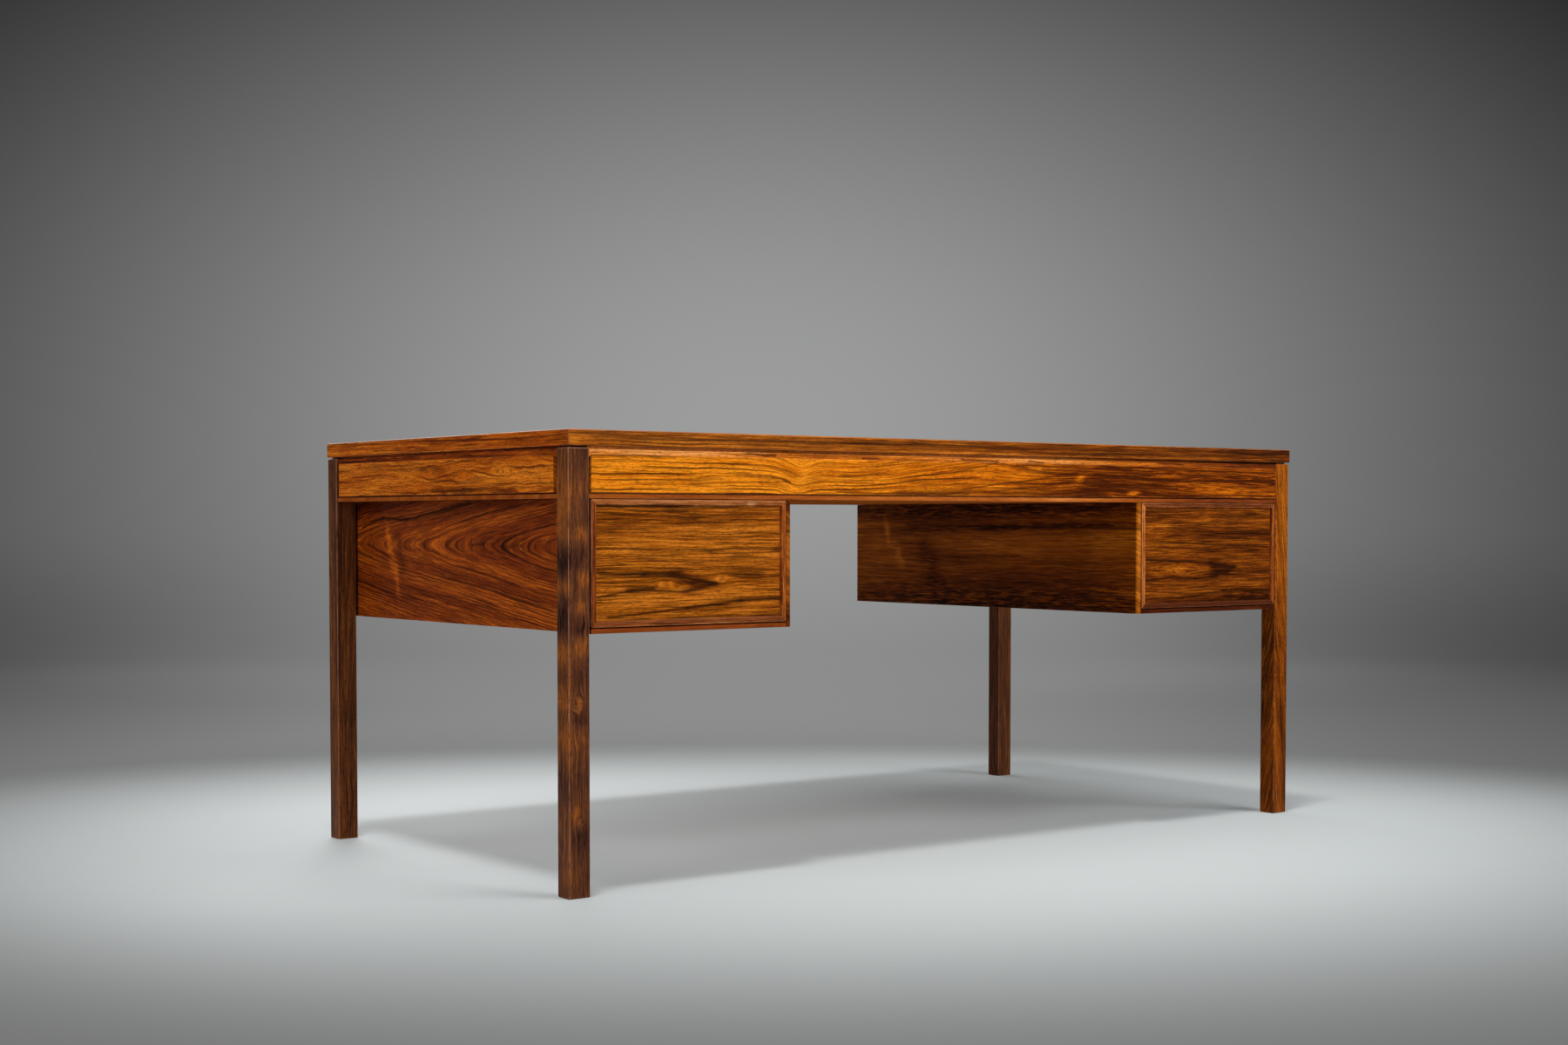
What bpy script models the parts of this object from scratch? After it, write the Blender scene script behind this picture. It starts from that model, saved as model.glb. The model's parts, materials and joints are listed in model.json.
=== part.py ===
"""An executive desk in solid and veneered rosewood, in metres, standing on z = 0 at the centre of its plan.

+X runs along the desk, the visitor's side faces -Y and the sitter's side +Y. Places are given as insets:
an end inset is counted from the end of the top, a side inset from its long edge. Pieces that touch keep
the gap FIT.
"""

import math

import bmesh
import bpy
from mathutils import Vector

# Overall size
LENGTH = 1.700
DEPTH = 0.852
HEIGHT = 0.733

# Gaps: between pieces that are glued or seated, and beside pieces that slide
FIT = 0.0003
SLIDE_GAP = 0.001

# Top: a veneered panel, tongued into solid lippings that are mitred at the corners
TOP_THICKNESS = 0.0255
LIPPING_WIDTH = 0.022
LIPPING_ARRIS = 0.002
TOP_TONGUE_THICKNESS = 0.008
TOP_TONGUE_LENGTH = 0.007

# Legs: rectangular, eased all round, with a smaller head that keeps a shadow gap under the top
LEG_X = 0.0385
LEG_Y = 0.035
LEG_ARRIS = 0.002
END_OVERHANG = 0.001
SIDE_OVERHANG = 0.003
SHADOW_GAP = 0.003
HEAD_INSET = 0.006

# Frieze: rails with a raised field under a narrow strip, on a thin floor
FRIEZE_HEIGHT = 0.082
FRIEZE_FLOOR_THICKNESS = 0.007
FIELD_INSET = 0.001
FIELD_LIFT = 0.0023
FIELD_ARRIS = 0.001
STRIP_DROP = 0.0049
STRIP_HEIGHT = 0.0078
STRIP_SETBACK = 0.002
RAIL_SETBACK = 0.008
RAIL_THICKNESS = 0.018
FIELD_GAP_LONG = 0.003
FIELD_GAP_END = 0.0095
TENON_THICKNESS = 0.008
TENON_LENGTH = 0.014
TENON_SHOULDER = 0.008
DIVIDER_THICKNESS = 0.012
HOUSING_DEPTH = 0.004

# Pedestals: two sides and a floor that hang from the frieze floor
PEDESTAL_HEIGHT = 0.212
PEDESTAL_OUTER = 0.045
PEDESTAL_INNER = 0.436
OUTER_SIDE_THICKNESS = 0.0105
INNER_SIDE_THICKNESS = 0.022
INNER_SIDE_LIP = 0.0105
SIDE_EDGE_INSET = 0.004
SIDE_EDGE_ROUND = 0.004
PEDESTAL_FLOOR_THICKNESS = 0.0075
FLOOR_TONGUE_THICKNESS = 0.003
FLOOR_TONGUE_LENGTH = 0.004
SIDE_TONGUE_THICKNESS = 0.005
SIDE_TONGUE_HEIGHT = 0.003
TONGUE_SETBACK = 0.020

# Framed fronts of the deep drawers
FRONT_INSET = 0.002
FRONT_OUTER = 0.043
FRONT_LIFT = 0.0022
FRONT_DROP = 0.0013
FRONT_GAP = 0.0015
FRAME_WIDTH = 0.010
FRAME_DEPTH = 0.016
FRAME_ARRIS = 0.001
FRAME_BEVEL = 0.002
PANEL_RECESS = 0.004
PANEL_GROOVE_SETBACK = 0.003
PANEL_TONGUE_THICKNESS = 0.003
PANEL_TONGUE_LENGTH = 0.004

# Fronts of the frieze drawers: one board with a raised rim
SHALLOW_FRONT_THICKNESS = 0.018
SHALLOW_FRONT_GAP = 0.002
RIM_WIDTH = 0.007
RIM_BEVEL = 0.002
RIM_RECESS = 0.003

# Drawer boxes: two deep drawers share a pedestal and stand back to back
DEEP_BACK_GAP = 0.052
DEEP_SIDE_THICKNESS = 0.010
DEEP_SIDE_HEIGHT = 0.150
SHALLOW_LENGTH = 0.560
SHALLOW_SIDE_THICKNESS = 0.008
SHALLOW_SIDE_HEIGHT = 0.058
BACK_THICKNESS = 0.008
BACK_SETBACK = 0.012
BACK_DROP = 0.006
BOTTOM_THICKNESS = 0.004
BOTTOM_LIFT = 0.003
DOVETAIL_DEPTH = 0.005
DOVETAIL_SHOULDER = 0.002
DOVETAIL_FLARE = 0.0012

# Segments of a rounded corner, and the length by which cutters and joined lumps run past a face
ARC_STEPS = 3
OVERLAP = 0.004

# Heights and insets that follow from the sizes above
TOP_UNDERSIDE = HEIGHT - TOP_THICKNESS
KNEE_HEIGHT = TOP_UNDERSIDE - FRIEZE_HEIGHT
FRIEZE_FLOOR_TOP = KNEE_HEIGHT + FRIEZE_FLOOR_THICKNESS
FIELD_LOW = FRIEZE_FLOOR_TOP + FIELD_LIFT
STRIP_HIGH = TOP_UNDERSIDE - STRIP_DROP
FIELD_HIGH = STRIP_HIGH - STRIP_HEIGHT
STRIP_INSET = FIELD_INSET + STRIP_SETBACK
RAIL_FRONT = FIELD_INSET + RAIL_SETBACK
RAIL_BACK = RAIL_FRONT + RAIL_THICKNESS
LEG_END = END_OVERHANG + LEG_X
LEG_SIDE = SIDE_OVERHANG + LEG_Y
PEDESTAL_LOW = KNEE_HEIGHT - PEDESTAL_HEIGHT
PEDESTAL_FLOOR_TOP = PEDESTAL_LOW + PEDESTAL_FLOOR_THICKNESS
FRONT_BACK = FRONT_INSET + FRAME_DEPTH
FRONT_INNER = PEDESTAL_INNER - INNER_SIDE_LIP - FRONT_GAP
OUTER_FACE = PEDESTAL_OUTER + OUTER_SIDE_THICKNESS
INNER_FACE = PEDESTAL_INNER - INNER_SIDE_THICKNESS
SHALLOW_BACK = FIELD_INSET + SHALLOW_FRONT_THICKNESS
DEEP_LENGTH = (DEPTH - DEEP_BACK_GAP) / 2
DIVIDER_INSET = PEDESTAL_INNER - INNER_SIDE_THICKNESS / 2

# Finishes: colour and roughness of each kind of wood
ROSEWOOD = ((0.36, 0.13, 0.035), 0.32)
ROSEWOOD_BRIGHT = ((0.52, 0.22, 0.05), 0.30)
ROSEWOOD_DARK = ((0.17, 0.06, 0.03), 0.34)
DRAWER_LINING = ((0.55, 0.36, 0.18), 0.50)

SIDES = {"left": -1, "right": 1}
FACES = {"front": -1, "rear": 1}


def x_at(side, inset):
    return side * (LENGTH / 2 - inset)


def y_at(face, inset):
    return face * (DEPTH / 2 - inset)


def clear_scene():
    for thing in list(bpy.data.objects):
        bpy.data.objects.remove(thing, do_unlink=True)


def finish(name, wood):
    colour, roughness = wood
    material = bpy.data.materials.new(name + "_finish")
    material.use_nodes = True
    shader = material.node_tree.nodes["Principled BSDF"]
    shader.inputs["Base Color"].default_value = (*colour, 1)
    shader.inputs["Roughness"].default_value = roughness
    shader.inputs["Metallic"].default_value = 0
    return material


def place(name, bm, wood=None, body=None):
    """Makes an object of a mesh in world coordinates. A moving piece hangs on its body's empty, and a mesh
    without wood is a tool that only cuts or joins."""
    bmesh.ops.remove_doubles(bm, verts=bm.verts, dist=1e-7)
    bmesh.ops.recalc_face_normals(bm, faces=bm.faces)
    if body:
        bmesh.ops.translate(bm, verts=bm.verts, vec=-body.location)
    mesh = bpy.data.meshes.new(name)
    bm.to_mesh(mesh)
    bm.free()
    piece = bpy.data.objects.new(name, mesh)
    bpy.context.scene.collection.objects.link(piece)
    piece.parent = body
    if wood:
        mesh.materials.append(finish(name, wood))
    else:
        piece.hide_render = True
        piece.display_type = "WIRE"
    return piece


def sweep(sections):
    """A closed solid through sections of equally many points, capped at both ends."""
    bm = bmesh.new()
    rings = [[bm.verts.new(point) for point in section] for section in sections]
    count = len(rings[0])
    for first, second in zip(rings, rings[1:]):
        for i in range(count):
            j = (i + 1) % count
            bm.faces.new((first[i], first[j], second[j], second[i]))
    bm.faces.new(rings[0])
    bm.faces.new(rings[-1])
    return bm


def prism(outline, axis, start, stop):
    """The outline, in the two other axes' coordinates, drawn along the axis (0, 1 or 2)."""
    def section(value):
        return [(*point[:axis], value, *point[axis:]) for point in outline]
    return sweep([section(start), section(stop)])


def box(a, b):
    """A block between two opposite corners, given in any order."""
    low = [min(pair) for pair in zip(a, b)]
    high = [max(pair) for pair in zip(a, b)]
    outline = [(low[0], low[1]), (high[0], low[1]), (high[0], high[1]), (low[0], high[1])]
    return prism(outline, 2, low[2], high[2])


def rounded(corners):
    """An outline through corners (a, b, radius), with an arc at each corner whose radius isn't 0."""
    outline = []
    for i, (a, b, radius) in enumerate(corners):
        here = Vector((a, b))
        if not radius:
            outline.append((a, b))
            continue
        back = (Vector(corners[i - 1][:2]) - here).normalized()
        ahead = (Vector(corners[(i + 1) % len(corners)][:2]) - here).normalized()
        half = back.angle(ahead) / 2
        centre = here + (back + ahead).normalized() * radius / math.sin(half)
        start = here + back * radius / math.tan(half) - centre
        stop = here + ahead * radius / math.tan(half) - centre
        turn = start.angle_signed(stop)
        for step in range(ARC_STEPS + 1):
            angle = -turn * step / ARC_STEPS
            spun = Vector((
                start.x * math.cos(angle) - start.y * math.sin(angle),
                start.x * math.sin(angle) + start.y * math.cos(angle),
            ))
            outline.append(tuple(centre + spun))
    return outline


def join_or_cut(piece, bm, operation):
    tool = place(f"{piece.name}_tool_{len(piece.modifiers)}", bm, body=piece.parent)
    modifier = piece.modifiers.new(operation.lower(), "BOOLEAN")
    modifier.operation = operation
    modifier.object = tool
    modifier.solver = "EXACT"


def cut(piece, bm):
    join_or_cut(piece, bm, "DIFFERENCE")


def join(piece, bm):
    join_or_cut(piece, bm, "UNION")


def grown(a, b, by):
    """The corners of a block that is larger than the one from a to b by the same amount all round."""
    low = [min(pair) - by for pair in zip(a, b)]
    high = [max(pair) + by for pair in zip(a, b)]
    return low, high


# Top


def top():
    half_x = LENGTH / 2 - LIPPING_WIDTH - FIT
    half_y = DEPTH / 2 - LIPPING_WIDTH - FIT
    middle = TOP_UNDERSIDE + TOP_THICKNESS / 2
    panel = place("top_panel", box((-half_x, -half_y, TOP_UNDERSIDE), (half_x, half_y, HEIGHT)), ROSEWOOD)
    reach_x = half_x + TOP_TONGUE_LENGTH
    reach_y = half_y + TOP_TONGUE_LENGTH
    half_tongue = TOP_TONGUE_THICKNESS / 2
    join(panel, box((-reach_x, -reach_y, middle - half_tongue), (reach_x, reach_y, middle + half_tongue)))

    groove = LIPPING_WIDTH - TOP_TONGUE_LENGTH - FIT
    profile = rounded([
        (0, TOP_UNDERSIDE, LIPPING_ARRIS),
        (LIPPING_WIDTH, TOP_UNDERSIDE, 0),
        (LIPPING_WIDTH, middle - half_tongue - FIT, 0),
        (groove, middle - half_tongue - FIT, 0),
        (groove, middle + half_tongue + FIT, 0),
        (LIPPING_WIDTH, middle + half_tongue + FIT, 0),
        (LIPPING_WIDTH, HEIGHT, 0),
        (0, HEIGHT, LIPPING_ARRIS),
    ])

    def mitred(half_length, point_at):
        ends = []
        for sign in (-1, 1):
            ends.append([point_at(sign * (half_length - inset - FIT / 2), inset, z) for inset, z in profile])
        return sweep(ends)

    for name, face in FACES.items():
        lipping = mitred(LENGTH / 2, lambda along, inset, z: (along, y_at(face, inset), z))
        place(f"top_lipping_{name}", lipping, ROSEWOOD_BRIGHT)
    for name, side in SIDES.items():
        lipping = mitred(DEPTH / 2, lambda along, inset, z: (x_at(side, inset), along, z))
        place(f"top_lipping_{name}", lipping, ROSEWOOD_BRIGHT)


# Legs and frieze


def tenon(along, sign, end):
    """Two corners of the tenon at one end of a frieze rail, in the middle of the rail's thickness."""
    middle = (RAIL_FRONT + RAIL_BACK) / 2
    thick = (middle - TENON_THICKNESS / 2, middle + TENON_THICKNESS / 2)
    low = FRIEZE_FLOOR_TOP + TENON_SHOULDER
    high = STRIP_HIGH - TENON_SHOULDER
    if along == "x":
        shoulder = LEG_END + FIT
        return (
            (x_at(end, shoulder + OVERLAP), y_at(sign, thick[0]), low),
            (x_at(end, LEG_END - TENON_LENGTH), y_at(sign, thick[1]), high),
        )
    shoulder = LEG_SIDE + FIT
    return (
        (x_at(sign, thick[0]), y_at(end, shoulder + OVERLAP), low),
        (x_at(sign, thick[1]), y_at(end, LEG_SIDE - TENON_LENGTH), high),
    )


def legs():
    for face_name, face in FACES.items():
        for side_name, side in SIDES.items():
            shoulder = TOP_UNDERSIDE - SHADOW_GAP
            leg = place(
                f"leg_{face_name}_{side_name}",
                box(
                    (x_at(side, END_OVERHANG), y_at(face, SIDE_OVERHANG), 0),
                    (x_at(side, LEG_END), y_at(face, LEG_SIDE), shoulder),
                ),
                ROSEWOOD_DARK,
            )
            ease = leg.modifiers.new("ease", "BEVEL")
            ease.width = LEG_ARRIS
            ease.segments = 2
            head_x = (x_at(side, END_OVERHANG + HEAD_INSET), x_at(side, LEG_END - HEAD_INSET))
            head_y = (y_at(face, SIDE_OVERHANG + HEAD_INSET), y_at(face, LEG_SIDE - HEAD_INSET))
            join(leg, box(
                (head_x[0], head_y[0], shoulder - OVERLAP),
                (head_x[1], head_y[1], TOP_UNDERSIDE - FIT),
            ))
            cut(leg, box(*grown(*tenon("y", side, face), FIT)))
            if face == FACES["front"]:
                cut(leg, box(*grown(*tenon("x", face, side), FIT)))


def rail_profile():
    """Section of a frieze rail as (inset, height): the body, the strip at its top and the raised field."""
    return rounded([
        (RAIL_BACK, FRIEZE_FLOOR_TOP + FIT, 0),
        (RAIL_BACK, TOP_UNDERSIDE - FIT, 0),
        (RAIL_FRONT, TOP_UNDERSIDE - FIT, 0),
        (RAIL_FRONT, STRIP_HIGH, 0),
        (STRIP_INSET, STRIP_HIGH, 0),
        (STRIP_INSET, FIELD_HIGH, 0),
        (FIELD_INSET, FIELD_HIGH, FIELD_ARRIS),
        (FIELD_INSET, FIELD_LOW, FIELD_ARRIS),
        (RAIL_FRONT, FIELD_LOW, 0),
        (RAIL_FRONT, FRIEZE_FLOOR_TOP + FIT, 0),
    ])


def frieze_rails():
    rails = [("frieze_rail_front", "x", FACES["front"], LENGTH / 2 - LEG_END - FIT, FIELD_GAP_LONG)]
    for name, side in SIDES.items():
        rails.append((f"frieze_rail_{name}", "y", side, DEPTH / 2 - LEG_SIDE - FIT, FIELD_GAP_END))
    for name, along, sign, half_length, end_gap in rails:
        def point(distance, inset, z):
            if along == "x":
                return (distance, y_at(sign, inset), z)
            return (x_at(sign, inset), distance, z)

        ends = [[point(end * half_length, inset, z) for inset, z in rail_profile()] for end in (-1, 1)]
        rail = place(name, sweep(ends), ROSEWOOD_BRIGHT)
        for end in (-1, 1):
            field_end = end * (half_length + FIT - end_gap)
            cut(rail, box(
                point(field_end, RAIL_FRONT, FIELD_HIGH),
                point(end * (half_length + OVERLAP), FIELD_INSET - OVERLAP, FIELD_LOW - FIELD_LIFT / 2),
            ))
            join(rail, box(*tenon(along, sign, end)))
        if along == "x":
            for side in SIDES.values():
                cut(rail, box(*grown(*divider_corners(side), FIT)))


def divider_corners(side):
    """Two corners of a divider, which is housed in the front rail and ends behind the drawer fronts."""
    half = DIVIDER_THICKNESS / 2
    near = y_at(FACES["front"], RAIL_BACK - HOUSING_DEPTH)
    far = y_at(FACES["rear"], SHALLOW_BACK + FIT)
    return (
        (x_at(side, DIVIDER_INSET - half), near, FRIEZE_FLOOR_TOP + FIT),
        (x_at(side, DIVIDER_INSET + half), far, TOP_UNDERSIDE - FIT),
    )


def frieze_dividers():
    for name, side in SIDES.items():
        place(f"frieze_divider_{name}", box(*divider_corners(side)), ROSEWOOD)


def side_tongue(side, inner):
    """Two corners of the tongue on top of a pedestal side, which stands in a groove under the frieze floor."""
    if inner:
        middle = PEDESTAL_INNER - INNER_SIDE_THICKNESS / 2
    else:
        middle = PEDESTAL_OUTER + OUTER_SIDE_THICKNESS / 2
    half = SIDE_TONGUE_THICKNESS / 2
    reach = FRONT_BACK + TONGUE_SETBACK
    return (
        (x_at(side, middle - half), y_at(-1, reach), KNEE_HEIGHT - OVERLAP),
        (x_at(side, middle + half), y_at(1, reach), KNEE_HEIGHT + SIDE_TONGUE_HEIGHT),
    )


def frieze_floor():
    edge_x = LENGTH / 2 - STRIP_INSET
    edge_y = DEPTH / 2 - STRIP_INSET
    notch_x = LENGTH / 2 - LEG_END - FIT
    notch_y = DEPTH / 2 - LEG_SIDE - FIT
    outline = [
        (-edge_x, -notch_y), (-notch_x, -notch_y), (-notch_x, -edge_y),
        (notch_x, -edge_y), (notch_x, -notch_y), (edge_x, -notch_y),
        (edge_x, notch_y), (notch_x, notch_y), (notch_x, edge_y),
        (-notch_x, edge_y), (-notch_x, notch_y), (-edge_x, notch_y),
    ]
    floor = place("frieze_floor", prism(outline, 2, KNEE_HEIGHT, FRIEZE_FLOOR_TOP), ROSEWOOD)
    for side in SIDES.values():
        for inner in (False, True):
            cut(floor, box(*grown(*side_tongue(side, inner), FIT)))


# Pedestals


def floor_tongue(side):
    """Two corners of the tongues at both edges of a pedestal floor, which stand in grooves in its sides."""
    middle = (PEDESTAL_LOW + PEDESTAL_FLOOR_TOP) / 2
    half = FLOOR_TONGUE_THICKNESS / 2
    reach = FRONT_BACK + TONGUE_SETBACK
    return (
        (x_at(side, OUTER_FACE - FLOOR_TONGUE_LENGTH), y_at(-1, reach), middle - half),
        (x_at(side, INNER_FACE + FLOOR_TONGUE_LENGTH), y_at(1, reach), middle + half),
    )


def mirrored_in_depth(points):
    """An outline from its front half, given with side insets, and the mirror image of that half."""
    front = [(x, y_at(-1, inset)) for x, inset in points]
    return front + [(x, -y) for x, y in reversed(front)]


def pedestal(side_name, side):
    high = KNEE_HEIGHT - FIT
    outer = place(
        f"pedestal_{side_name}_outer_side",
        box(
            (x_at(side, PEDESTAL_OUTER), y_at(-1, FRONT_BACK + FIT), PEDESTAL_LOW),
            (x_at(side, OUTER_FACE), y_at(1, FRONT_BACK + FIT), high),
        ),
        ROSEWOOD,
    )
    join(outer, box(*side_tongue(side, False)))
    cut(outer, box(*grown(*floor_tongue(side), FIT)))

    lip = PEDESTAL_INNER - INNER_SIDE_LIP
    front_half = rounded([
        (x_at(side, INNER_FACE), FRONT_BACK + FIT, 0),
        (x_at(side, lip), FRONT_BACK + FIT, 0),
        (x_at(side, lip), SIDE_EDGE_INSET, FRAME_ARRIS),
        (x_at(side, PEDESTAL_INNER), SIDE_EDGE_INSET, SIDE_EDGE_ROUND),
        (x_at(side, PEDESTAL_INNER), DEPTH / 2, 0),
        (x_at(side, INNER_FACE), DEPTH / 2, 0),
    ])
    inner = place(
        f"pedestal_{side_name}_inner_side",
        prism(mirrored_in_depth(front_half[:-2]), 2, PEDESTAL_LOW, high),
        ROSEWOOD,
    )
    join(inner, box(*side_tongue(side, True)))
    cut(inner, box(*grown(*floor_tongue(side), FIT)))

    ear = FRONT_BACK - FIT
    floor_outline = mirrored_in_depth([
        (x_at(side, OUTER_FACE + FIT), ear),
        (x_at(side, FRONT_OUTER), ear),
        (x_at(side, FRONT_OUTER), SIDE_EDGE_INSET),
        (x_at(side, lip - FIT), SIDE_EDGE_INSET),
        (x_at(side, lip - FIT), ear),
        (x_at(side, INNER_FACE - FIT), ear),
    ])
    floor = place(
        f"pedestal_{side_name}_floor",
        prism(floor_outline, 2, PEDESTAL_LOW, PEDESTAL_FLOOR_TOP),
        ROSEWOOD,
    )
    join(floor, box(*floor_tongue(side)))


# Drawers


def drawer_body(name, x, face, z):
    """The empty that a drawer's pieces hang on, on the line along which it slides."""
    body = bpy.data.objects.new(name, None)
    body.location = (x, y_at(face, 0), z)
    bpy.context.scene.collection.objects.link(body)
    return body


def drawer_box(body, front, face, ends, front_back, length, low, joint_low, thickness, height):
    """Two sides slid into the front on dovetails, a back housed between them, and a bottom in grooves."""
    name = body.name
    x_low, x_high = ends
    side_high = low + height
    bottom_low = joint_low + BOTTOM_LIFT
    bottom_high = bottom_low + BOTTOM_THICKNESS
    back_far = length - BACK_SETBACK
    groove = HOUSING_DEPTH
    bottom = (
        (x_low + thickness - groove + FIT, y_at(face, front_back - groove + FIT), bottom_low),
        (x_high - thickness + groove - FIT, y_at(face, length), bottom_high),
    )
    back = (
        (x_low + thickness - groove + FIT, y_at(face, back_far - BACK_THICKNESS), bottom_high + FIT),
        (x_high - thickness + groove - FIT, y_at(face, back_far), side_high - BACK_DROP),
    )
    for side_name, wall, inward in (("left", x_low, 1), ("right", x_high, -1)):
        def dovetail(gap, run_in):
            """Plan of the dovetail, larger by a gap, with a straight neck that runs into the side."""
            tip = front_back - DOVETAIL_DEPTH - gap
            neck = DOVETAIL_SHOULDER - gap
            flared = neck - DOVETAIL_FLARE
            half_plan = [(neck, front_back + run_in), (neck, front_back), (flared, tip)]
            plan = half_plan + [(thickness - across, inset) for across, inset in reversed(half_plan)]
            return [(wall + inward * across, y_at(face, inset)) for across, inset in plan]

        board = box(
            (wall, y_at(face, front_back + FIT), low),
            (wall + inward * thickness, y_at(face, length), side_high),
        )
        side = place(f"{name}_{side_name}_side", board, DRAWER_LINING, body)
        join(side, prism(dovetail(0, OVERLAP), 2, joint_low, side_high))
        cut(side, box(*grown(*bottom, FIT)))
        cut(side, box(*grown(*back, FIT)))
        cut(front, prism(dovetail(FIT, FIT), 2, joint_low - OVERLAP, side_high + FIT))
    place(f"{name}_bottom", box(*bottom), DRAWER_LINING, body)
    cut(front, box(*grown(*bottom, FIT)))
    place(f"{name}_back", box(*back), DRAWER_LINING, body)


def framed_front(body, side, face, low, high):
    """A mitred frame round a recessed panel, which is tongued into the frame. Returns the panel."""
    groove_near = PANEL_RECESS + PANEL_GROOVE_SETBACK
    groove_far = groove_near + PANEL_TONGUE_THICKNESS
    groove_floor = FRAME_WIDTH - PANEL_TONGUE_LENGTH
    profile = rounded([
        (0, 0, FRAME_ARRIS),
        (FRAME_WIDTH - FRAME_BEVEL, 0, 0),
        (FRAME_WIDTH, PANEL_RECESS, 0),
        (FRAME_WIDTH, groove_near, 0),
        (groove_floor, groove_near, 0),
        (groove_floor, groove_far, 0),
        (FRAME_WIDTH, groove_far, 0),
        (FRAME_WIDTH, FRAME_DEPTH, 0),
        (0, FRAME_DEPTH, 0),
    ])

    def corner(end_sign, high_sign, across, depth):
        inset = FRONT_OUTER + across if end_sign < 0 else FRONT_INNER - across
        z = low + across if high_sign < 0 else high - across
        return (x_at(side, inset), y_at(face, FRONT_INSET + depth), z)

    frame = bmesh.new()
    rings = []
    for end_sign, high_sign in ((-1, -1), (1, -1), (1, 1), (-1, 1)):
        rings.append([frame.verts.new(corner(end_sign, high_sign, *point)) for point in profile])
    for first, second in zip(rings, rings[1:] + rings[:1]):
        for i in range(len(profile)):
            j = (i + 1) % len(profile)
            frame.faces.new((first[i], first[j], second[j], second[i]))
    place(f"{body.name}_frame", frame, ROSEWOOD, body)

    def plate(across, near, far):
        return box(corner(-1, -1, across, near), corner(1, 1, across, far))

    panel = place(
        f"{body.name}_panel", plate(FRAME_WIDTH + FIT, PANEL_RECESS, FRAME_DEPTH), ROSEWOOD_BRIGHT, body
    )
    join(panel, plate(groove_floor + FIT, groove_near + FIT, groove_far - FIT))
    return panel


def deep_drawers():
    low = PEDESTAL_FLOOR_TOP + FRONT_LIFT
    high = KNEE_HEIGHT - FRONT_DROP
    for face_name, face in FACES.items():
        for side_name, side in SIDES.items():
            middle = x_at(side, (FRONT_OUTER + FRONT_INNER) / 2)
            body = drawer_body(f"deep_drawer_{face_name}_{side_name}", middle, face, low)
            panel = framed_front(body, side, face, low, high)
            ends = sorted((x_at(side, OUTER_FACE + SLIDE_GAP), x_at(side, INNER_FACE - SLIDE_GAP)))
            drawer_box(
                body, panel, face, ends, FRONT_BACK, DEEP_LENGTH,
                PEDESTAL_FLOOR_TOP + FIT, low + FRAME_WIDTH + FIT, DEEP_SIDE_THICKNESS, DEEP_SIDE_HEIGHT,
            )


def rimmed_front(body, face, x_low, x_high):
    """A board whose outer face is sunk inside a raised rim."""
    front = box(
        (x_low, y_at(face, FIELD_INSET), FIELD_LOW),
        (x_high, y_at(face, SHALLOW_BACK), STRIP_HIGH),
    )
    bmesh.ops.recalc_face_normals(front, faces=front.faces)
    outer = max(front.faces, key=lambda f: f.normal.y * face)
    bmesh.ops.inset_individual(front, faces=[outer], thickness=RIM_WIDTH, depth=0)
    bmesh.ops.inset_individual(front, faces=[outer], thickness=RIM_BEVEL, depth=-RIM_RECESS)
    return place(f"{body.name}_front", front, ROSEWOOD_BRIGHT, body)


def shallow_drawers():
    face = FACES["rear"]
    half = DIVIDER_THICKNESS / 2
    divider = LENGTH / 2 - DIVIDER_INSET
    wall = LENGTH / 2 - max(RAIL_BACK, LEG_END)
    leg = LENGTH / 2 - LEG_END - FIELD_GAP_LONG
    meet = SHALLOW_FRONT_GAP / 2
    bays = [
        ("left", (-leg, -divider - meet), (-wall, -divider - half)),
        ("centre", (-divider + meet, divider - meet), (-divider + half, divider - half)),
        ("right", (divider + meet, leg), (divider + half, wall)),
    ]
    for name, front_ends, bay in bays:
        body = drawer_body(f"frieze_drawer_{name}", sum(bay) / 2, face, FIELD_LOW)
        front = rimmed_front(body, face, *front_ends)
        drawer_box(
            body, front, face, (bay[0] + SLIDE_GAP, bay[1] - SLIDE_GAP), SHALLOW_BACK, SHALLOW_LENGTH,
            FRIEZE_FLOOR_TOP + FIT, FIELD_LOW, SHALLOW_SIDE_THICKNESS, SHALLOW_SIDE_HEIGHT,
        )


def main():
    clear_scene()
    top()
    legs()
    frieze_rails()
    frieze_dividers()
    frieze_floor()
    for side_name, side in SIDES.items():
        pedestal(side_name, side)
    deep_drawers()
    shallow_drawers()


main()
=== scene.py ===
"""The finished look of the rosewood desk: eased boards, mitred strips and drawn figure over the frame."""

import json
import math
from dataclasses import dataclass, replace

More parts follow.
